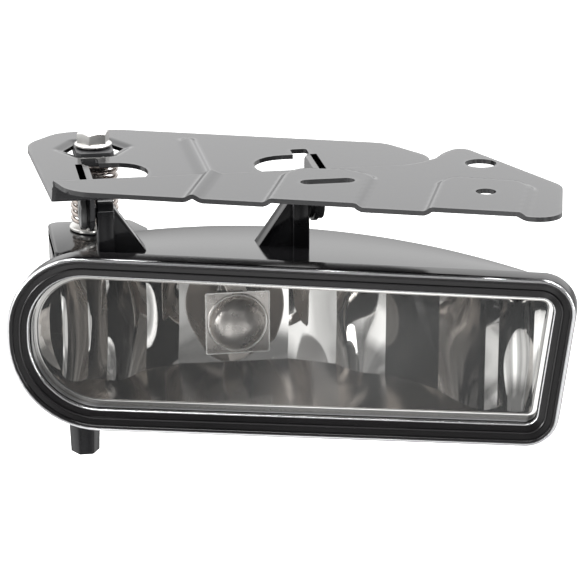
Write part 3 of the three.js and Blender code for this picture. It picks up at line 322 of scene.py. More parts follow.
def distance_to_path(points, path, closed):
    """Distance from each point to a path of straight runs, and the side it lies on."""
    ends = list(zip(path, path[1:] + path[:1])) if closed else list(zip(path, path[1:]))
    best = np.full(len(points), 1e9)
    side = np.zeros(len(points))
    for a, b in ends:
        a, b = np.array(a[:2], float), np.array(b[:2], float)
        run = b - a
        share = np.clip(((points - a) @ run) / max(run @ run, 1e-12), 0, 1)
        off = points - (a + share[:, None] * run)
        gap = np.hypot(off[:, 0], off[:, 1])
        turn = run[0] * (points[:, 1] - a[1]) - run[1] * (points[:, 0] - a[0])
        nearer = gap < best
        best = np.where(nearer, gap, best)
        side = np.where(nearer, np.sign(turn), side)
    return best, side


def inside(points, loop):
    hit = np.zeros(len(points), bool)
    for a, b in zip(loop, loop[1:] + loop[:1]):
        crosses = (a[1] > points[:, 1]) != (b[1] > points[:, 1])
        rise = (b[1] - a[1]) or 1e-12
        hit ^= crosses & (points[:, 0] < (b[0] - a[0]) * (points[:, 1] - a[1]) / rise + a[0])
    return hit


def smooth_step(value):
    share = np.clip(value, 0, 1)
    return share * share * (3 - 2 * share)


def front_edge(x):
    return FRONT_CORNER[1] - SWEEP * (x - FRONT_CORNER[0])


def rear_edge(x):
    return REAR_CORNER[1] - SWEEP * (x - REAR_CORNER[0])


PLATE_OUTLINE = rounded([
    (-68.2, -36, 3), (-62.5, front_edge(-62.5), 18), (128, front_edge(128), 10), (141, -81, 14),
    (113.4, -13, 5), (97, -28, 2.5), (103, 4, 14), (88, rear_edge(88), 16),
    (HEX_AT[0] + 13, rear_edge(HEX_AT[0] + 13), 26), (HEX_AT[0] - 14, 72, 16),
    (HEX_AT[0] - 29.8, HEX_AT[1] + 11, 20),
])
JOGGLE_PATH = [(-90, -36), (82, -36), (89, -33.5), (97.4, -28), (112, -4)]
PADS = [
    rounded([(2, -122, 2), (29, -47, 7), (36, -40, 7), (57, -46, 7), (66, -56, 7), (42.2, -122, 2)]),
    rounded([(67.2, -136, 2), (91, -70, 7), (97, -63.5, 7), (124, -75, 7), (127, -84, 7),
             (105.4, -144, 2)]),
]
HEX_HOLE = [
    Vector((HEX_AT[0] + HEX_FLATS / math.sqrt(3) * math.cos(i * math.pi / 3),
            HEX_AT[1] + HEX_FLATS / math.sqrt(3) * math.sin(i * math.pi / 3)))
    for i in range(6)
]


def window(side):
    fold = side * (TAB_X - SHEET / 2)
    blank = [(fold, 13, 0), (fold, -TAB_HALF, 0), (fold - side * 25, -TAB_HALF, 15),
             (fold - side * 25, TAB_HALF, 15), (fold - side * 5, TAB_HALF, 0),
             (fold - side * 5, 25, 1.5), (fold + side * 2.5, 25, 1.5), (fold + side * 2.5, 13, 0)]
    return rounded(blank if side > 0 else blank[::-1], 6)


PLATE_HOLES = [
    ring_loop(105.8, -90, 8.4), ring_loop(115.5, -41.4, 13.4, 48), HEX_HOLE, window(-1), window(1),
    rounded([(33, -67.5, 3.49), (56, -67.5, 3.49), (56, -60.5, 3.49), (33, -60.5, 3.49)]),
]


def plate_height(points):
    """Top of the sheet at each point in plan."""
    gap, side = distance_to_path(points, JOGGLE_PATH, False)
    height = REAR_LEVEL + JOGGLE_RISE * smooth_step(0.5 - side * gap / JOGGLE_RUN)
    for pad in PADS:
        gap, _ = distance_to_path(points, pad, True)
        depth = np.where(inside(points, pad), gap, -gap)
        height += PAD_RISE * smooth_step(0.5 + depth / PAD_RUN)
    x, y = points[:, 0], points[:, 1]
    middle = FRONT_SLANT * np.minimum(y - JOGGLE_PATH[0][1], 0)
    arch = 0.5 + 0.5 * np.cos(np.pi * np.clip((x - middle) / BEAD_HALF, -1, 1))
    height += BEAD_RISE * arch * smooth_step((BEAD_END - y) / 7)
    gap, _ = distance_to_path(points, HEX_HOLE, True)
    height -= DIMPLE * smooth_step(1 - gap / 4.5)
    return height


def on_sheet(points, outline, holes):
    return inside(points, outline) & ~np.any([inside(points, loop) for loop in holes], axis=0)


def subdivided(loop, pitch):
    fine = []
    for a, b in zip(loop, loop[1:] + loop[:1]):
        a, b = Vector(a[:2]), Vector(b[:2])
        count = max(1, round((b - a).length / pitch))
        fine += [a.lerp(b, i / count) for i in range(count)]
    return fine


def pressed_sheet(name, outline, holes, pitch, fold, fold_rows):
    """Flat blank filled with an even mesh, in rows along its fold, pressed to height."""
    loops = [subdivided(loop, pitch) for loop in (outline, *holes)]
    points, edges = [], []
    for loop in loops:
        first = len(points)
        points += loop
        edges += [(first + i, first + (i + 1) % len(loop)) for i in range(len(loop))]
    low = np.array([p[:] for p in outline]).min(0)
    high = np.array([p[:] for p in outline]).max(0)
    columns = np.arange(low[0], high[0], pitch)
    rows = np.arange(low[1], high[1], pitch * 0.87)
    spread = np.array([(x + (row % 2) * pitch / 2, y) for row, y in enumerate(rows) for x in columns])
    band = distance_to_path(spread, fold, False)[0]
    spread = spread[band > max(fold_rows) + pitch * 0.5]
    runs = [(Vector(a), Vector(b)) for a, b in zip(fold, fold[1:])]
    rows = [tuple(a.lerp(b, i / count) + Vector((a.y - b.y, b.x - a.x)).normalized() * offset)
            for a, b in runs for count in [round((b - a).length / pitch)]
            for i in range(count) for offset in fold_rows]
    spread = np.vstack([spread, rows])
    keep = on_sheet(spread, outline, holes)
    for loop in (outline, *holes):
        keep &= distance_to_path(spread, loop, True)[0] > pitch * 0.45
    points += [Vector(p) for p in spread[keep]]
    flat, _, faces, *_ = geometry.delaunay_2d_cdt(points, edges, [], 0, 1e-4)
    flat = np.array([p[:] for p in flat])
    centres = np.array([flat[list(face)].mean(0) for face in faces])
    used = [face for face, kept in zip(faces, on_sheet(centres, outline, holes)) if kept]
    return mesh_of(name, np.column_stack([flat, plate_height(flat)]), used)


def folded_tab(side):
    """Half-round tab: the sheet runs in over its fold and hangs straight down."""
    inner = TAB_X - SHEET / 2
    bend, columns, rows, round_end = 2.6, 28, 23, 15.4
    arc = [(inner + bend - bend * math.sin(a), REAR_LEVEL - bend + bend * math.cos(a))
           for a in np.linspace(0, math.pi / 2, 7)]
    points = []
    for column in range(columns + 1):
        y = -TAB_HALF + 2 * TAB_HALF * column / columns
        end = -8.5 + round_end - math.sqrt(max(round_end ** 2 - min(abs(y), round_end) ** 2, 0))
        path = [(inner + bend + 3, REAR_LEVEL)] + arc
        path += [(inner, z) for z in np.linspace(arc[-1][1], end, rows - len(path) + 1)[1:]]
        points += [(side * x, y, z) for x, z in path]
    quads = [(a, a + 1, a + rows + 1, a + rows)
             for column in range(columns) for a in range(column * rows, (column + 1) * rows - 1)]
    return mesh_of("tab", points, quads if side < 0 else [quad[::-1] for quad in quads])


plate = pressed_sheet("plate", PLATE_OUTLINE, PLATE_HOLES, 1.25, JOGGLE_PATH,
                      (-2.4, -1.7, -1.1, -0.5, 0, 0.5, 1.1, 1.7, 2.4))
bracket_mesh = applied(
    joined("bracket", plate, folded_tab(-1), folded_tab(1)),
    ("SOLIDIFY", {"thickness": SHEET, "offset": -1}),
    ("BEVEL", {"width": 0.35, "segments": 2, "angle_limit": math.radians(50)}),
)
coords = np.array([v.co[:] for v in bracket_mesh.vertices])
coords[:, 2] = np.minimum(coords[:, 2], plate_height(coords[:, :2]) + 0.01)
bracket_mesh.vertices.foreach_set("co", coords.ravel())
GLOSS_PAINT = finish("gloss_black_paint", (0.008, 0.008, 0.009), 0.13, bump=0.03,
                     grain=420, cloud=22, wear=(0.2, 0.2, 0.2), wear_level=0.12)
place_piece("bracket", bracket_mesh, GLOSS_PAINT, "bracket",
            ["mounting_bracket"], crease=38)


# Pivot pins and bushes: a flanged nylon bush pressed in each tab, and a black-plated shoulder
# pin with a large flat round head and a hexagon socket, screwed into the post behind it.
def outward_faces(mesh, reach=1e-4):
    """Mesh with its doubled points welded and its faces turned outwards."""
    shape = bmesh.new()
    shape.from_mesh(mesh)
    bmesh.ops.remove_doubles(shape, verts=shape.verts, dist=reach)
    bmesh.ops.recalc_face_normals(shape, faces=shape.faces)
    shape.to_mesh(mesh)
    shape.free()
    return mesh


def turned(name, profile, segments=48, axis="Z"):
    """Solid of revolution about its own axis from (radius, along) pairs, closed at both ends."""
    count = len(profile)
    angles = [2 * math.pi * i / segments for i in range(segments)]
    points = [(r * math.cos(a), r * math.sin(a), z) for a in angles for r, z in profile]
    faces = [(i * count + row, (i + 1) % segments * count + row,
              (i + 1) % segments * count + row + 1, i * count + row + 1)
             for i in range(segments) for row in range(count - 1)]
    mesh = outward_faces(mesh_of(name, points, faces), 1e-5)
    if axis == "X":
        mesh.transform(Matrix.Rotation(math.pi / 2, 4, "Y"))
    if axis == "Y":
        mesh.transform(Matrix.Rotation(-math.pi / 2, 4, "X"))
    return mesh


def moved(mesh, x=0.0, y=0.0, z=0.0, turn=None):
    if turn:
        mesh.transform(Matrix.Rotation(turn[0], 4, turn[1]))
    mesh.transform(Matrix.Translation((x, y, z)))
    return mesh


NYLON = finish("black_nylon", (0.022, 0.022, 0.024), 0.42, spread=0.3, grain=1700, bump=0.12,
               cloud=120)
PIN_BLACK = finish("black_plated_pin", (0.016, 0.016, 0.017), 0.18, spread=0.2, grain=1200,
                   bump=0.06, cloud=90, wear=(0.3, 0.3, 0.3), wear_level=0.5)
PIN = [(0, 2.05), (2.9, 2.05), (2.9, 3.6), (5.8, 4.0), (6.5, 3.95), (7.6, 3.6), (8, 3.0), (8, 1.3),
       (7.6, 0.9), (3, 0.85), (3, -10), (2.4, -11), (0, -11)]
BUSH = [(3.15, 1.9), (7.1, 1.9), (7.5, 1.5), (7.5, 1.06), (4.6, 1.06), (4.6, -1.06), (7.5, -1.06),
        (7.5, -1.5), (7.1, -1.9), (3.15, -1.9), (3.15, 1.9)]
for side, place in ((-1, "left"), (1, "right")):
    pin = moved(turned("pin", [(r, side * (z + 0.7)) for r, z in PIN], 48, "X"), side * TAB_X)
    place_piece("pivot_pin_" + place + "_head", pin, PIN_BLACK, "lamp",
                ["pivot_pin_" + place])
    bush = moved(turned("bush", BUSH, 40, "X"), side * TAB_X)
    place_piece("pivot_bush_" + place + "_ring", bush, NYLON, "bracket",
                ["pivot_bush_" + place])


# Aiming bolt: an M8 flange bolt, rolled thread, bright zinc. It turns in the nylon grommet in
# the hexagonal hole, and its tip runs in the captive nut under the housing's ear.
NECK = REAR_LEVEL + 0.9
BOLT_TIP = NECK - 60
THREAD_PITCH = 1.25
THREAD_LENGTH = 34.0
ZINC = finish("bright_zinc", (0.62, 0.61, 0.59), 0.28, metal=0.85, spread=0.1, grain=1400, bump=0.06,
              cloud=160, wear=(0.9, 0.9, 0.88))


def prism(name, flats, low, high, turn=0.0, chamfer=0.0):
    """Upright hexagonal bar with chamfered top and bottom corners."""
    reach = flats / math.sqrt(3)
    levels = [(reach, low), (reach, high)]
    if chamfer:
        levels = [(reach - chamfer, low), (reach, low + chamfer), (reach, high - chamfer),
                  (reach - chamfer, high)]
    angles = [turn + i * math.pi / 3 for i in range(6)]
    return stacked(name, [(r * math.cos(a), r * math.sin(a), z) for r, z in levels for a in angles], 6)


def stacked(name, points, count):
    """Solid through loops of the same number of points, closed by its first and last."""
    last = len(points) - count
    faces = [(row + i, row + (i + 1) % count, row + count + (i + 1) % count, row + count + i)
             for row in range(0, last, count) for i in range(count)]
    faces += [tuple(range(count))[::-1], tuple(range(last, last + count))]
    return mesh_of(name, points, faces)


def extruded(name, loop, low, high):
    """Upright block on a closed loop."""
    return outward_faces(stacked(name, [(p[0], p[1], z) for z in (low, high) for p in loop], len(loop)))


def boxed(name, x, y, z):
    """Block between pairs of low and high values along each axis."""
    return extruded(name, [(x[0], y[0]), (x[1], y[0]), (x[1], y[1]), (x[0], y[1])], *z)


def rod(radius, low, high, segments=48, axis="Z"):
    return turned("rod", [(0, low), (radius, low), (radius, high), (0, high)], segments, axis)


def carved(made, *tools, operation="DIFFERENCE"):
    """Shape with each tool cut out of it, or with only what it shares with the tool."""
    for tool in tools:
        cutter = bpy.data.objects.new("cutter", tool)
        bpy.context.scene.collection.objects.link(cutter)
        made = applied(made, ("BOOLEAN", {"operation": operation, "object": cutter, "solver": "EXACT"}))
        bpy.data.objects.remove(cutter)
    return made


def node_tree(name, inputs):
    """Empty geometry tree whose named sizes can be set from outside."""
    tree = bpy.data.node_groups.new(name, "GeometryNodeTree")
    tree.is_modifier = True
    sockets = [("Geometry", "Geometry"), *inputs, ("Finish", "Material")]
    for label, kind in sockets:
        tree.interface.new_socket(label, in_out="INPUT", socket_type="NodeSocket" + kind)
    tree.interface.new_socket("Geometry", in_out="OUTPUT", socket_type="NodeSocketGeometry")
    return tree, tree.nodes.new("NodeGroupInput").outputs


def ended(tree, given, shape):
    """Tree ended: its instances are made real and the given material is set."""
    real = add(tree, "GeometryNodeRealizeInstances", [(shape, "Geometry")])
    coated = add(tree, "GeometryNodeSetMaterial", [
        (real.outputs["Geometry"], "Geometry"), (given["Finish"], "Material"),
    ])
    add(tree, "NodeGroupOutput", [(coated.outputs["Geometry"], "Geometry")])
    return tree


def grown(tree, material, sizes, base=None):
    """Result of a geometry tree as a plain mesh, from a base mesh or from nothing."""
    values = {**sizes, "Finish": material}
    settings = {item.identifier: values[item.name] for item in tree.interface.items_tree
                if item.in_out == "INPUT" and item.name in values}
    return applied(base or mesh_of("seed", [(0, 0, 0)], []), ("NODES", {"node_group": tree, **settings}))


def coil_tree():
    """Wire of a given thickness wound round Z."""
    tree, given = node_tree("wound_wire", [
        ("Coil Radius", "Float"), ("Height", "Float"), ("Turns", "Float"), ("Wire Radius", "Float"),
        ("Wire Sides", "Int"),
    ])
    spiral = add(tree, "GeometryNodeCurveSpiral", [
        (given["Coil Radius"], "Start Radius"), (given["Coil Radius"], "End Radius"),
        (given["Height"], "Height"), (given["Turns"], "Rotations"),
    ], Resolution=36)
    section = add(tree, "GeometryNodeCurvePrimitiveCircle", [
        (given["Wire Radius"], "Radius"), (given["Wire Sides"], "Resolution"),
    ])
    swept = add(tree, "GeometryNodeCurveToMesh", [
        (spiral.outputs["Curve"], "Curve"), (section.outputs["Curve"], "Profile Curve"),
    ])
    swept.inputs["Fill Caps"].default_value = True
    return ended(tree, given, swept.outputs["Mesh"])


COIL = coil_tree()
shank = turned("shank", [
    (0, BOLT_TIP), (2.9, BOLT_TIP), (3.5, BOLT_TIP + 0.8), (3.5, NECK - 24), (3.95, NECK - 23),
    (3.95, NECK + 0.3), (8.0, NECK + 0.3), (8.5, NECK + 0.7), (8.5, NECK + 1.2), (8.1, NECK + 1.6),
    (6.9, NECK + 2.2), (0, NECK + 2.2),
])
crown = turned("crown", [
    (0, NECK - 5), (20, NECK - 5), (20, NECK + 2), (7.9, NECK + 5.9), (6.2, NECK + 6.9),
    (5.4, NECK + 6.9), (5.0, NECK + 6.6), (0, NECK + 6.6),
], 64)
head = carved(prism("head", 13, NECK + 2.0, NECK + 6.9, turn=math.radians(12)), crown,
              operation="INTERSECT")
thread = grown(COIL, ZINC, {
    "Coil Radius": 3.55, "Height": THREAD_LENGTH, "Turns": THREAD_LENGTH / THREAD_PITCH,
    "Wire Radius": 0.42, "Wire Sides": 4,
})
bolt = joined("bolt", shank, head, moved(thread, 0, 0, BOLT_TIP + 1))
place_piece("adjuster_bolt_turned", moved(bolt, *HEX_AT), ZINC, "adjuster",
            ["adjuster_bolt"], crease=30)


# Grommet and clip: a hexagonal black nylon moulding with a collar below, pressed in the hole
# of the bracket with gaps left and right, and a thin spring steel clip pushed on under it.
GROMMET_LIFT = REAR_LEVEL - 5.0
GROMMET_BORE = 4.15
KEY_SPAN = (-8.5, 8.5)
key = carved(prism("key", HEX_FLATS - 0.6, GROMMET_LIFT, REAR_LEVEL + 0.5),
             boxed("slab", KEY_SPAN, (-20, 20), (0, 30)), operation="INTERSECT")
plug = boxed("plug", KEY_SPAN, (-13.6, 13.6), (GROMMET_LIFT - 0.1, REAR_LEVEL - 2.4))
collar = turned("collar", [(GROMMET_BORE, 8.1), (7.1, 8.1), (7.5, 8.5), (7.5, 12.6),
                           (GROMMET_BORE, 12.6), (GROMMET_BORE, 8.1)])
grommet = joined("grommet", carved(plug, rod(GROMMET_BORE, 0, 30)),
                 carved(key, rod(GROMMET_BORE, 0, 30)), collar)
grommet = applied(grommet, ("BEVEL", {"width": 0.3, "segments": 2, "angle_limit": math.radians(50)}))
place_piece("adjuster_grommet_moulded", moved(grommet, *HEX_AT), NYLON, "bracket",
            ["adjuster_grommet"])

SPRING_STEEL = finish("spring_steel", (0.44, 0.39, 0.36), 0.26, metal=1.0, spread=0.3, grain=1200,
                      bump=0.08, cloud=260, wear=(0.7, 0.66, 0.62))


def coat_solid(name, material):
    """Gives a solid carried over from the frame its material."""
    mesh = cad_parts[name].data
    mesh.materials.clear()
    mesh.materials.append(material)


coat_solid("adjuster_clip", SPRING_STEEL)


# Aiming spring: round steel wire wound into an open coil, pressed between the grommet and
# a flat zinc-plated washer on the housing's ear. It pushes the ear down against the nut.
def cad_span(name, axis):
    """Ends of a solid along an axis (0, 1 or 2), in millimetres from the tilt axis."""
    return [(corner[axis] - TILT_AXIS[axis]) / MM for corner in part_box(name)]


WIRE_RADIUS = 1.0
SPRING_FOOT, SPRING_TOP = cad_span("adjuster_spring", 2)
COIL_FOOT = SPRING_FOOT + WIRE_RADIUS
COIL_HEIGHT = SPRING_TOP - WIRE_RADIUS - 0.1 - COIL_FOOT
spring = grown(COIL, SPRING_STEEL, {
    "Coil Radius": 10.0, "Height": COIL_HEIGHT, "Turns": 9.5, "Wire Radius": WIRE_RADIUS,
    "Wire Sides": 14,
})
coil = place_piece("adjuster_spring_coil", moved(spring, *HEX_AT, COIL_FOOT), SPRING_STEEL, None,
                   ["adjuster_spring"], crease=60)
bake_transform(coil)

SEAT = cad_span("spring_seat", 2)[0]
seat = turned("seat", [(r, SEAT + z) for r, z in (
    (6.2, 0), (11.2, 0), (11.7, 0.4), (11.7, 1.1), (11.3, 1.5), (6.6, 1.5), (6.2, 1.1), (6.2, 0))], 56)
place_piece("spring_seat_washer", moved(seat, *HEX_AT), ZINC, "lamp",
            ["spring_seat"])


# Captive nut: a zinc-plated flange nut pressed up into the hexagonal pocket under the ear.
# The aiming bolt turns in it, and so lifts or lowers the back of the lamp.
NUT_BORE = 5.9
NUT_FOOT, NUT_TOP = cad_span("adjuster_nut", 2)
nut_foot = turned("nut_foot", [(r, NUT_FOOT + z) for r, z in (
    (NUT_BORE, 0), (10.4, 0), (11, 0.6), (11, 1.6), (NUT_BORE, 1.6), (NUT_BORE, 0))], 48)
nut = joined("nut", prism("nut", 19, NUT_FOOT + 1.2, NUT_TOP, chamfer=0.7), nut_foot)
place_piece("adjuster_nut_plated", moved(carved(nut, rod(NUT_BORE, -90, 0, 40)), *HEX_AT), ZINC,
            "lamp", ["adjuster_nut"], crease=30)


# Housing: one moulding in gloss black plastic, a bowl drawn to a rounded back, with two posts
# that hang on the pivot pins, an ear for the aiming bolt, a hexagonal peg underneath, the
# socket ring for the bulb and a breather spigot. A channel round its mouth holds the lens.
LENS = Matrix.Translation((29, -47.3, -55)) @ Matrix.Rotation(math.radians(-19.7), 4, "Z")
LENS_TO_ROW = TO_ROW @ LENS
FACING_FRONT = Matrix.Rotation(math.pi / 2, 4, "X")
RIM_TO_ROW = LENS_TO_ROW @ FACING_FRONT
RIM_CORNERS = [(-124.6, 38.9, 36), (-124.6, -42.5, 40), (117.3, -34.8, 15), (126.6, 41, 15)]
BULB_AT = (15.5, -55.0)
SOCKET_SEAT = 46.0
EAR_TOP = -21.0
EAR_FOOT = EAR_TOP - 6
VENT_AT = (62, -38)
BOLT_PASSAGE = 6.2
DRAFT = 0.1
DRAFT_END = 85
MOUTH_HALF = 34


def lens_outline(inset):
    """Outline of the lamp's mouth in its own plane, moved in by an inset."""
    corners = []
    for index, (*_, radius) in enumerate(RIM_CORNERS):
        here, back, ahead, half = corner_of(RIM_CORNERS, index)
        corner = here + (back + ahead).normalized() * inset / math.sin(half)
        corners.append((corner.x, corner.y, radius - inset))
    return rounded(corners, 14)


def rim_tree():
    """Bar of a given section that runs round a closed outline."""
    tree, given = node_tree("bar_round_outline", [])
    flag = add(tree, "GeometryNodeInputNamedAttribute", data_type="BOOLEAN", Name="section")
    parted = add(tree, "GeometryNodeSeparateGeometry", [
        (given["Geometry"], "Geometry"), (flag.outputs["Attribute"], "Selection"),
    ], domain="POINT")
    section = add(tree, "GeometryNodeMeshToCurve", [(parted.outputs["Selection"], "Mesh")])
    outline = add(tree, "GeometryNodeMeshToCurve", [(parted.outputs["Inverted"], "Mesh")])
    upright = add(tree, "GeometryNodeSetCurveNormal", [(outline.outputs["Curve"], "Curve")], mode="Z_UP")
    swept = add(tree, "GeometryNodeCurveToMesh", [
        (upright.outputs["Curve"], "Curve"), (section.outputs["Curve"], "Profile Curve"),
    ])
    return ended(tree, given, swept.outputs["Mesh"])


RIM = rim_tree()


def rim_bar(name, section, material):
    """Bar round the lamp's mouth from (inset, forward) pairs."""
    path = [(p.x, p.y, 0) for p in lens_outline(0)]
    across = [(-inset, -forward, 0) for inset, forward in section]
    count, rows = len(path), len(across)
    seed = bpy.data.meshes.new(name)
    edges = [(i, (i + 1) % count) for i in range(count)]
    edges += [(count + i, count + (i + 1) % rows) for i in range(rows)]
    seed.from_pydata(path + across, edges, [])
    flag = seed.attributes.new("section", "BOOLEAN", "POINT")
    for index in range(count, count + rows):
        flag.data[index].value = True
    return outward_faces(grown(RIM, material, {}, seed))


def span_at(loop, along):
    hits = [a.y + (b.y - a.y) * (along - a.x) / (b.x - a.x)
            for a, b in zip(loop, loop[1:] + loop[:1]) if (a.x <= along) != (b.x <= along)]
    return min(hits), max(hits)


def draft(back, start):
    """Share of its width that a bowl keeps at a depth, so that it leaves its mould."""
    return 1 - DRAFT * (back - start) / (DRAFT_END - start)


def bowl(name, inset, depth, mouth, draft_from, fillet, stations, rows, arch=lambda along: 0.0):
    """Open bowl behind the mouth outline, in the lens frame, its faces turned to the front.

    Its floor and ceiling get the second material. An arch leans the wall's ends forward.
    """
    loop = lens_outline(inset)
    ends = (min(p.x for p in loop) + 0.02, max(p.x for p in loop) - 0.02)
    wanted = sorted(list(stations) + [p.x for p in loop] + list(ends))
    columns = []
    for along in wanted:
        if ends[0] <= along <= ends[1] and (not columns or along - columns[-1] > 0.05):
            columns.append(along)
    plan = []
    for along in columns:
        low, high = span_at(loop, along)
        half = (high - low) / 2
        plan += [(along, (low + high) / 2 - half * math.cos(math.pi * row / rows)) for row in range(rows + 1)]
    plan = np.array(plan)
    edge = distance_to_path(plan, loop, True)[0]
    short = np.clip(fillet - edge, 0, fillet)
    turn_in = fillet - np.sqrt(np.maximum(fillet ** 2 - short ** 2, 0)) if fillet else 0 * edge
    points = []
    for (along, up), less in zip(plan, turn_in):
        here = along
        for _ in range(4):
            here = along * draft(depth(here), draft_from)
        back = depth(here) - less - arch(here) * (up / MOUTH_HALF) ** 2
        narrow = draft(back, draft_from)
        points.append((along * narrow, back, up * narrow))
    height = rows + 1
    last = len(columns) - 1
    faces = [(i * height + j, (i + 1) * height + j, (i + 1) * height + j + 1, i * height + j + 1)
             for i in range(last) for j in range(rows)]
    border = [i * height + rows for i in range(last + 1)]
    border += [last * height + j for j in range(rows - 1, -1, -1)]
    border += [i * height for i in range(last - 1, -1, -1)] + list(range(1, rows))
    first, narrow = len(points), draft(mouth, draft_from)
    points += [(plan[index][0] * narrow, mouth, plan[index][1] * narrow) for index in border]
    count = len(border)
    faces += [(border[i], border[(i + 1) % count], first + (i + 1) % count, first + i) for i in range(count)]
    mesh = outward_faces(mesh_of(name, points, faces))
    mesh.materials.append(None)
    mesh.materials.append(None)
    for face in mesh.polygons:
        face.material_index = 1 if abs(face.normal.y) < 0.3 and abs(face.normal.z) > 0.6 else 0
    middle = min(mesh.polygons, key=lambda face: (face.center - Vector((0, depth(0), 0))).length)
    if middle.normal.y > 0:
        mesh.flip_normals()
    return mesh


def housing_depth(along):
    half = 108 if along < -20 else 129
    return max(81 - 66 * ((along + 20) / half) ** 2, 20)


def eased(mesh, width):
    """Mesh with its sharp edges rounded off."""
    return applied(mesh, ("BEVEL", {"width": width, "segments": 3, "angle_limit": math.radians(40)}))


def bulb_passage(radius):
    """Rod on the bulb's axis, in the lens frame, that cuts its way through a bowl."""
    passage = moved(rod(radius, 0, 70, axis="Y"), BULB_AT[0], 0, BULB_AT[1])
    passage.transform(LENS.inverted())
    return passage


MOULDING = finish("gloss_black_moulding", (0.003, 0.003, 0.0035), 0.10, spread=0.3, grain=700,
                  bump=0.05, cloud=28, wear=(0.16, 0.16, 0.17), wear_level=0.3, ior=1.36)
shell = bowl("shell", 2.3, housing_depth, 12.5, 13, 4.5, np.linspace(-122, 124, 82), 30)
shell.flip_normals()
shell = carved(applied(shell, ("SOLIDIFY", {"thickness": 2.2, "offset": -1})), bulb_passage(14.5))
shell.transform(LENS)
channel = rim_bar("channel", [(2.1, -14), (2.1, -8.3), (2.3, -8.1), (3.7, -8.1), (3.9, -8.3), (3.9, -12),
                              (8.9, -12), (8.9, -10.2), (10.4, -10.2), (10.4, -14)], MOULDING)
channel.transform(LENS @ FACING_FRONT)


def upright_post(side):
    """Post that hangs on a pin: a rounded wall across X, a long gusset and a short rib."""
    foot = -20.5
    wall = extruded("post", rounded([(-8, foot, 0), (8, foot, 0), (8, 8.5, 7.9), (-8, 8.5, 7.9)], 12),
                    39.6, 46.9)
    wall.transform(Matrix(((0, 0, 1, 0), (1, 0, 0, 0), (0, 1, 0, 0), (0, 0, 0, 1))))
    web = extruded("gusset", rounded([
        (42, foot, 0), (24.4, foot, 0), (24.4, foot + 0.9, 0.5), (40, 3, 3), (42, 3, 0), (42, foot, 0),
    ]), -3.5, 7.5)
    web.transform(Matrix(((1, 0, 0, 0), (0, 0, 1, 0), (0, 1, 0, 0), (0, 0, 0, 1))))
    rib = boxed("rib", (39.4, 46.9), (-8.2, -6.2), (foot, 2))
    post = joined("post", *[eased(outward_faces(mesh), 0.7) for mesh in (wall, web, rib)])
    if side < 0:
        post.transform(Matrix.Scale(-1, 4, (1, 0, 0)))
        outward_faces(post)
    return post


ear = extruded("ear", rounded([(-64.5, 7, 4), (-20, 7, 0), (-20, 40, 0), (-27, 56, 8), (-64.5, 56, 5)]),
               EAR_FOOT, EAR_TOP)
ear = carved(eased(ear, 0.7), moved(rod(BOLT_PASSAGE, -60, 0, 40), *HEX_AT),
             moved(prism("pocket", 19.9, -60, EAR_FOOT + 3.4), *HEX_AT))
skirts = joined("skirts", *[
    eased(boxed("skirt", across, along, (EAR_TOP - 16, EAR_TOP - 0.8)), 0.6)
    for across, along in (((-64.5, -62.1), (12, 50)), ((-31.2, -28.8), (27, 53)))
])
ring = turned("ring", [(11.3, 32), (16.4, 32), (17, 32.6), (17, 45.4), (16.4, 46), (11.8, 46),
                       (11.3, 45.5), (11.3, 39), (13.9, 39), (13.9, 34), (11.3, 34), (11.3, 32)], 72, "Y")
ring = moved(ring, BULB_AT[0], 0, BULB_AT[1])
peg = turned("peg", [(0, -59.4), (5.9, -59.4), (6.6, -58.7), (7.5, -35.4), (0, -35.4)], 6)
peg = eased(moved(peg, -95.5, 21, 0, (math.radians(20), "Z")), 0.5)
peg.transform(LENS)
VENT_FROM, VENT_TO = cad_span("vent_cap", 1)
spigot = turned("spigot", [(2, VENT_FROM - 14), (3.5, VENT_FROM - 14), (3.5, VENT_TO - 5),
                           (3.1, VENT_TO - 4.4), (2, VENT_TO - 4.4), (2, VENT_FROM - 14)], 32, "Y")
spigot = moved(spigot, VENT_AT[0], 0, VENT_AT[1])
housing = joined("housing", shell, channel, upright_post(-1), upright_post(1), ear, skirts, ring,
                 peg, spigot)
place_piece("housing_moulded", housing, MOULDING, "lamp", ["housing"],
            crease=30)


# Breather cap: a soft black rubber cap pushed on the spigot at the back of the housing, with
# grip ribs round it. It lets the lamp breathe and keeps water out.
def rib_tree():
    """Upright ribs set evenly on a ring."""
    tree, given = node_tree("ribs_on_ring", [
        ("Count", "Int"), ("Ring Radius", "Float"), ("Rib Size", "Vector"),
    ])
    ring_points = add(tree, "GeometryNodeMeshCircle", [
        (given["Count"], "Vertices"), (given["Ring Radius"], "Radius"),
    ])
    rib = add(tree, "GeometryNodeMeshCube", [(given["Rib Size"], "Size")])
    facing = add(tree, "GeometryNodeInputPosition")
    aligned = add(tree, "FunctionNodeAlignRotationToVector", [(facing.outputs["Position"], "Vector")],
                  axis="X")
    placed = add(tree, "GeometryNodeInstanceOnPoints", [
        (ring_points.outputs["Mesh"], "Points"), (rib.outputs["Mesh"], "Instance"),
        (aligned.outputs["Rotation"], "Rotation"),
    ])
    both = add(tree, "GeometryNodeJoinGeometry")
    tree.links.new(given["Geometry"], both.inputs["Geometry"])
    tree.links.new(placed.outputs["Instances"], both.inputs["Geometry"])
    return ended(tree, given, both.outputs["Geometry"])


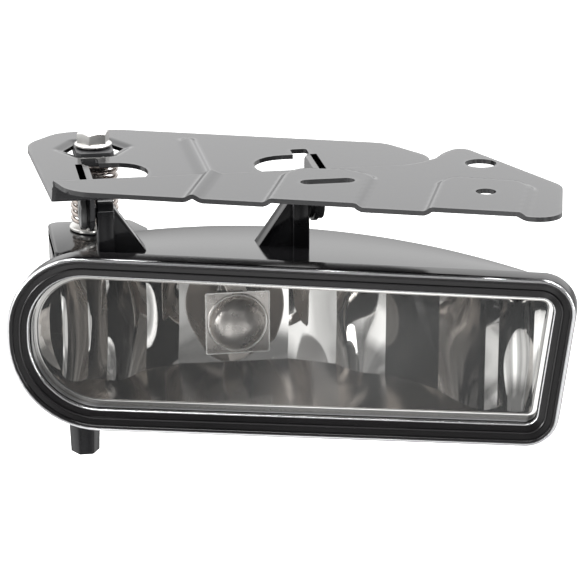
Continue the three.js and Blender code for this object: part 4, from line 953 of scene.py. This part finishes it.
RIBS = rib_tree()
RUBBER = finish("black_rubber", (0.02, 0.02, 0.021), 0.7, spread=0.3, grain=1500, bump=0.2, cloud=90,
                wear=(0.09, 0.09, 0.09), wear_level=0.5)
cap_length = VENT_TO - VENT_FROM
cap = turned("cap", [
    (3.7, 0), (5.6, 0), (5.9, 0.4), (5.9, 1), (5.7, 1.3), (5.6, cap_length - 1.2),
    (4.9, cap_length - 0.3), (4.2, cap_length), (0, cap_length), (0, cap_length - 2.6),
    (3.7, cap_length - 2.6), (3.7, 0),
], 40)
ribs = grown(RIBS, RUBBER, {
    "Count": 22, "Ring Radius": 5.7, "Rib Size": (0.7, 0.7, cap_length - 4.5),
})
cap = joined("cap", cap, moved(ribs, 0, 0, cap_length / 2 + 0.2))
cap = moved(cap, VENT_AT[0], VENT_FROM, VENT_AT[1], (-math.pi / 2, "X"))
place_piece("vent_cap_ribbed", cap, RUBBER, "lamp", ["vent_cap"])


# Bezel: the stepped rim of gloss black plastic, moulded round the edge of the lens and glued
# into the housing's channel.
RIM_BLACK = finish("rim_black", (0.008, 0.0075, 0.008), 0.16, spread=0.3, grain=650, bump=0.05,
                   cloud=24, wear=(0.18, 0.17, 0.18), wear_level=0.4, ior=1.42)
bezel = rim_bar("bezel", [
    (0, -9.9), (0, -2.2), (0.15, -1.4), (0.5, -0.7), (1.0, -0.2), (1.6, 0), (2.2, -0.1), (2.6, -0.35),
    (2.95, -0.9), (3.1, -1.35), (5.2, -1.8), (5.45, -1.4), (5.8, -1.25), (6.15, -1.45), (6.4, -2.3),
    (8.2, -2.8), (8.7, -2.95), (9.1, -3.4), (9.3, -4), (9.3, -5), (6.4, -5), (4.2, -3.8), (1.8, -3.4),
    (1.8, -9.9),
], RIM_BLACK)
place_piece("bezel_rim", bezel, RIM_BLACK, "lamp", ["bezel"], RIM_TO_ROW, 34)


# Painted highlights on the edges of the lens: where the clear plate's rounded edge comes out
# beside the black band, it catches the light as narrow bright lines, one outside the band and two
# inside it. These lines are painted in as thin strips of bright grey metal laid along the rim.
LIP_PAINTED_HIGHLIGHT = finish("lip_painted_highlight", (0.72, 0.72, 0.73), 0.14, metal=0.9, spread=0.1, grain=500,
                   bump=0.03, cloud=60)
HIGHLIGHT_LINES = (
    [(0.4, -1.0), (0.25, -0.7), (0.45, -0.3), (0.9, 0.1), (1.5, 0.18), (1.7, -0.1), (1.7, -1.0)],
    [(8.7, -4.6), (8.7, -2.95), (8.9, -2.75), (9.3, -2.9), (9.55, -3.4), (9.55, -4.6)],
    [(9.7, -8.0), (9.5, -7.8), (9.5, -5.6), (9.7, -5.4), (10.1, -5.6), (10.1, -7.8)],
)
# Strips in the painted highlight colour, one for each bright line along the rim.
edges = joined("edges", *[rim_bar("edge", line, LIP_PAINTED_HIGHLIGHT) for line in HIGHLIGHT_LINES])
place_piece("lens_edge_painted_highlights", edges, LIP_PAINTED_HIGHLIGHT, "lamp", (), RIM_TO_ROW, 50)


# Lens seal: a bead of black rubber laid in the bottom of the housing's channel, pressed flat
# by the edge of the lens.
seal = rim_bar("seal", [(4.2, -11.6), (4.2, -10.3), (4.6, -9.95), (8.2, -9.95), (8.6, -10.3),
                        (8.6, -11.6)], RUBBER)
place_piece("lens_seal_bead", seal, RUBBER, "lamp", ["lens_seal"], RIM_TO_ROW, 40)


# Lens: one clear moulded plate with rounded edges, held behind the bezel and sealed to the
# housing, so that it closes the mouth of the lamp.
def clear(name, tint, roughness, ior):
    """Clear wall: light goes straight through, and the surface shines at a glancing angle."""
    material = bpy.data.materials.new(name)
    material.use_nodes = True
    tree = material.node_tree
    tree.nodes.remove(tree.nodes["Principled BSDF"])
    place = add(tree, "ShaderNodeTexCoord").outputs["Object"]
    cloud = add(tree, "ShaderNodeTexNoise", [(place, "Vector")], Scale=40).outputs["Fac"]
    haze = add(tree, "ShaderNodeMapRange", [(cloud, "Value")],
               **{"To Min": roughness * 0.6, "To Max": roughness * 1.8})
    shade = add(tree, "ShaderNodeMix", [(cloud, "Factor")], data_type="RGBA",
                A=(0.9, 0.9, 0.9, 1), B=(1, 1, 1, 1))
    relief = add(tree, "ShaderNodeBump", [(cloud, "Height")], Strength=0.02, Distance=RELIEF_DEPTH)
    gloss = add(tree, "ShaderNodeBsdfPrincipled", [
        (haze.outputs[0], "Roughness"), (shade.outputs["Result"], "Base Color"),
        (relief.outputs[0], "Normal"),
    ], Metallic=1)
    through = add(tree, "ShaderNodeBsdfTransparent", Color=(*tint, 1))
    facing = add(tree, "ShaderNodeFresnel", IOR=ior)
    wall = add(tree, "ShaderNodeMixShader", [
        (facing.outputs[0], 0), (through.outputs[0], 1), (gloss.outputs[0], 2),
    ])
    tree.links.new(wall.outputs[0], tree.nodes["Material Output"].inputs["Surface"])
    return material


def plate_round(name, levels):
    """Solid between outlines given as (inset, forward), closed by its first and last."""
    loops = [[(p.x, p.y, forward) for p in lens_outline(inset)] for inset, forward in levels]
    return outward_faces(stacked(name, sum(loops, []), len(loops[0])))


LENS_CLEAR = clear("lens_clear", (0.97, 0.975, 0.975), 0.02, 1.4)
lens = plate_round("lens", [(7.6, -8.1), (7.6, -9.4), (7.4, -9.6), (4.6, -9.6), (4.4, -9.4),
                            (4.4, -5.8), (4.55, -5.45), (4.9, -5.3)])
place_piece("lens_plate", lens, LENS_CLEAR, "lamp", ["lens"], RIM_TO_ROW, 40)


# Reflector: a moulded bowl, vacuum metallised. Its back is broken into upright flutes that
# meet in sharp ridges, and its floor and ceiling are flat mirrors. The bulb enters by a hole.
FLUTE_EDGES = [-104, -94, -87, -72, -59, -10, 13, 37, 63, 91, 106]
FLUTE_SWELLS = [5, -3, 6, -3, 5, -2, 5, -4, 6, 4]
FLUTE_SAG = 6.4
FLUTE_LEAN = 4.5
DISH_START = 5.9


def bare_depth(along):
    half = 80 if along < -22 else 105
    return max(67 - 50 * ((along + 22) / half) ** 2, 15.5) + 0.55 * max(-101 - along, 0)


def flute_at(along):
    """Swell of the flute at a place, and how far across the flute it lies: 0 at its ridges."""
    for left, right, swell in zip(FLUTE_EDGES, FLUTE_EDGES[1:], FLUTE_SWELLS):
        if left <= along < right:
            share = (along - left) / (right - left)
            return swell, share * (1 - share)
    return 0, 0


def reflector_depth(along):
    return bare_depth(along) - FLUTE_SAG * flute_at(along)[1]


def flute_arch(along):
    """How far a flute leans forward towards the floor and the ceiling."""
    swell, across = flute_at(along)
    return FLUTE_LEAN + swell * 4 * across


def flute_stations():
    lines = [np.linspace(left, right, 10, endpoint=False)
             for left, right in zip(FLUTE_EDGES, FLUTE_EDGES[1:])] + [FLUTE_EDGES[-1:]]
    return [along / draft(reflector_depth(along), DISH_START) for along in np.concatenate(lines)]


CHROME = finish("reflector_chrome", (0.86, 0.835, 0.81), 0.045, metal=1.0, spread=0.04, grain=45,
                bump=0.01, cloud=30)
FLOOR_CHROME = finish("floor_chrome", (0.60, 0.57, 0.545), 0.16, metal=1.0, spread=0.06, grain=120,
                      bump=0.03, cloud=30, streak=(1, 0.15, 0.15))
dish = bowl("dish", 12.2, reflector_depth, 8.6, DISH_START, 0, flute_stations(), 24, flute_arch)
dish = carved(applied(dish, ("SOLIDIFY", {"thickness": 1.0, "offset": -1})), bulb_passage(8.4))
flange = rim_bar("flange", [(9.2, -9.9), (9.2, -8.7), (9.5, -8.45), (11.9, -8.45), (12.2, -8.7),
                            (12.2, -10.6), (11.2, -10.6), (11.2, -9.9)], CHROME)
flange.transform(FACING_FRONT)
place_piece("reflector_fluted", joined("reflector", dish, flange), [CHROME, FLOOR_CHROME], "lamp",
            ["reflector"], LENS_TO_ROW, 7)


# Glare shield: pressed steel square with a round dome, satin plated, on two legs riveted
# to the reflector. It hides the bulb from the front.
SHIELD_TO_ROW = TO_ROW @ Matrix.Translation((BULB_AT[0], 0, BULB_AT[1])) @ FACING_FRONT
SATIN = finish("satin_plate", (0.62, 0.58, 0.55), 0.28, metal=0.85, spread=0.08, grain=1500,
               bump=0.04, cloud=200)
# Painted highlight: near-white colour for thin strips that draw the light caught by the shield's bevelled
# edges.
SHIELD_PAINTED_HIGHLIGHT = finish("shield_painted_highlight", (0.92, 0.90, 0.87), 0.2, metal=0.5, spread=0.05, grain=1500,
                     bump=0.03, cloud=200)


def square_block(name, half, radius, low, high):
    corners = [(x * half, y * half, radius) for x, y in ((-1, -1), (1, -1), (1, 1), (-1, 1))]
    return extruded(name, rounded(corners, 4), low, high)


dome_line = [(12.2 * math.cos(a), 1.4 + 7.9 * math.sin(a)) for a in np.linspace(0.05, math.pi / 2, 18)]
dome = turned("dome", [(0, 0.4), (13.9, 0.4), (13.9, 1.0), (13.5, 1.35), (12.9, 1.35), (12.5, 1.2)]
              + dome_line[:-1] + [(0, 9.3)], 96)
legs = joined("legs", *[
    eased(boxed("leg", (-4.5, 4.5), sorted((side * inner, side * 14.7)), (-23.2, top)), 0.25)
    for side in (-1, 1) for inner, top in ((13.9, 0.5), (7.75, -22.4))
])
shield = joined("shield", eased(square_block("square", 14.7, 1, 0, 1.0), 0.7), dome, legs)
# Painted highlights: a thin ring round the foot of the dome and a thin frame along the square's edge, laid on
# in the near-white colour.
round_highlight = turned("line", [(12.75, 1.1), (12.9, 1.6), (13.2, 1.7), (13.5, 1.5), (13.6, 1.1),
                             (12.75, 1.1)], 96)
square_highlight = carved(square_block("line", 14.5, 1, 0.5, 1.25), square_block("inner", 14, 0.6, -1, 3))
place_piece("bulb_shield_painted_highlights", joined("lines", round_highlight, square_highlight), SHIELD_PAINTED_HIGHLIGHT, "lamp",
            (), SHIELD_TO_ROW)
place_piece("bulb_shield_pressed", shield, SATIN, "lamp", ["bulb_shield"],
            SHIELD_TO_ROW)
coat_solid("shield_rivet_lower", ZINC)
coat_solid("shield_rivet_upper", ZINC)


# Bulb: a glass envelope with a small coiled filament in a crimped metal collar, held in a
# black plastic base with three lugs, a rubber ring and a two-pin connector shroud.
BULB_TO_ROW = TO_ROW @ Matrix.Translation((BULB_AT[0], SOCKET_SEAT, BULB_AT[1])) @ FACING_FRONT
BASE_PLASTIC = finish("bulb_base_plastic", (0.016, 0.016, 0.017), 0.36, spread=0.3, grain=1300,
                      bump=0.12, cloud=80, wear=(0.1, 0.1, 0.1), wear_level=0.4)
base_body = turned("base", [
    (4.3, 2), (4.3, 11.7), (10.6, 11.7), (11, 11.3), (11, 3.4), (9.4, 3.2), (9.4, -0.3), (14.6, -0.3),
    (15, -0.7), (15, -4.5), (14.5, -5), (9.5, -5), (0, -5), (0, 2), (4.3, 2),
], 64)
lugs = joined("lugs", *[
    moved(boxed("lug", (-2.8, 2.8), (4.2, 13.4), (7.9, 11.3)), turn=(math.radians(120 * index), "Z"))
    for index in range(3)
])
grips = grown(RIBS, BASE_PLASTIC, {
    "Count": 36, "Ring Radius": 14.55, "Rib Size": (0.8, 1.1, 3.2),
})
shroud = eased(carved(boxed("shroud", (-10.5, 10.5), (-6.5, 6.5), (-21.5, -4.6)),
                      boxed("mouth", (-8.8, 8.8), (-4.8, 4.8), (-30, -8.5))), 0.5)
latch = eased(joined("latch", boxed("ramp", (-3, 3), (6.2, 8.9), (-19, -11)),
                     boxed("rail", (-8.6, -7.4), (6.2, 7.6), (-20, -5)),
                     boxed("rail", (7.4, 8.6), (6.2, 7.6), (-20, -5))), 0.35)
base = joined("base", base_body, lugs, moved(grips, 0, 0, -2.7), shroud, latch)
place_piece("bulb_base_moulded", base, BASE_PLASTIC, "bulb", ["bulb_base"],
            BULB_TO_ROW)

SEAL_WIRE = 0.8
seal_section = [(9.5 + SEAL_WIRE + SEAL_WIRE * math.cos(a), 1.5 + SEAL_WIRE * math.sin(a))
                for a in np.linspace(0, 2 * math.pi, 17)]
place_piece("bulb_seal_ring", turned("ring", seal_section, 56), RUBBER, "bulb",
            ["bulb_seal"], BULB_TO_ROW, 60)

COLLAR_STEEL = finish("collar_steel", (0.66, 0.65, 0.63), 0.28, metal=1.0, spread=0.12, grain=900,
                      bump=0.08, cloud=160, wear=(0.9, 0.9, 0.88))
collar = turned("collar", [(4.6, 12), (7.1, 12), (7.5, 12.4), (7.5, 18.4), (7.3, 19), (6.9, 19),
                           (6.9, 12.8), (4.6, 12.8), (4.6, 12)], 56)
place_piece("bulb_collar_crimped", collar, COLLAR_STEEL, "bulb", ["bulb_collar"],
            BULB_TO_ROW)

GLASS_TOP = 33.8
BULB_GLASS = clear("bulb_glass", (0.97, 0.97, 0.965), 0.02, 1.45)
turn_over = np.linspace(0, math.pi / 2, 12)
tip = [(6.2 * math.cos(a), GLASS_TOP + 6.2 * math.sin(a)) for a in turn_over[:-1]] + [(0, 40)]
hollow = [(0, 39.1)] + [(5.3 * math.cos(a), GLASS_TOP + 5.3 * math.sin(a)) for a in turn_over[-2::-1]]
glass = turned("glass", [(5.3, 13.4), (6.2, 13.4)] + tip + hollow + [(5.3, 13.4)], 56)
place_piece("bulb_glass_blown", glass, BULB_GLASS, "bulb", ["bulb_glass"],
            BULB_TO_ROW, 50)

TUNGSTEN = finish("tungsten_wire", (0.36, 0.34, 0.32), 0.4, metal=1.0, grain=2600, bump=0.1,
                  cloud=500, wear=(0.6, 0.58, 0.55))
BRASS = finish("brass_blade", (0.66, 0.47, 0.21), 0.28, metal=1.0, spread=0.15, grain=900, bump=0.08,
               streak=(1, 0.1, 1), cloud=240, wear=(0.9, 0.76, 0.48))
coat_solid("bulb_filament", TUNGSTEN)
coat_solid("bulb_terminal_left", BRASS)
coat_solid("bulb_terminal_right", BRASS)
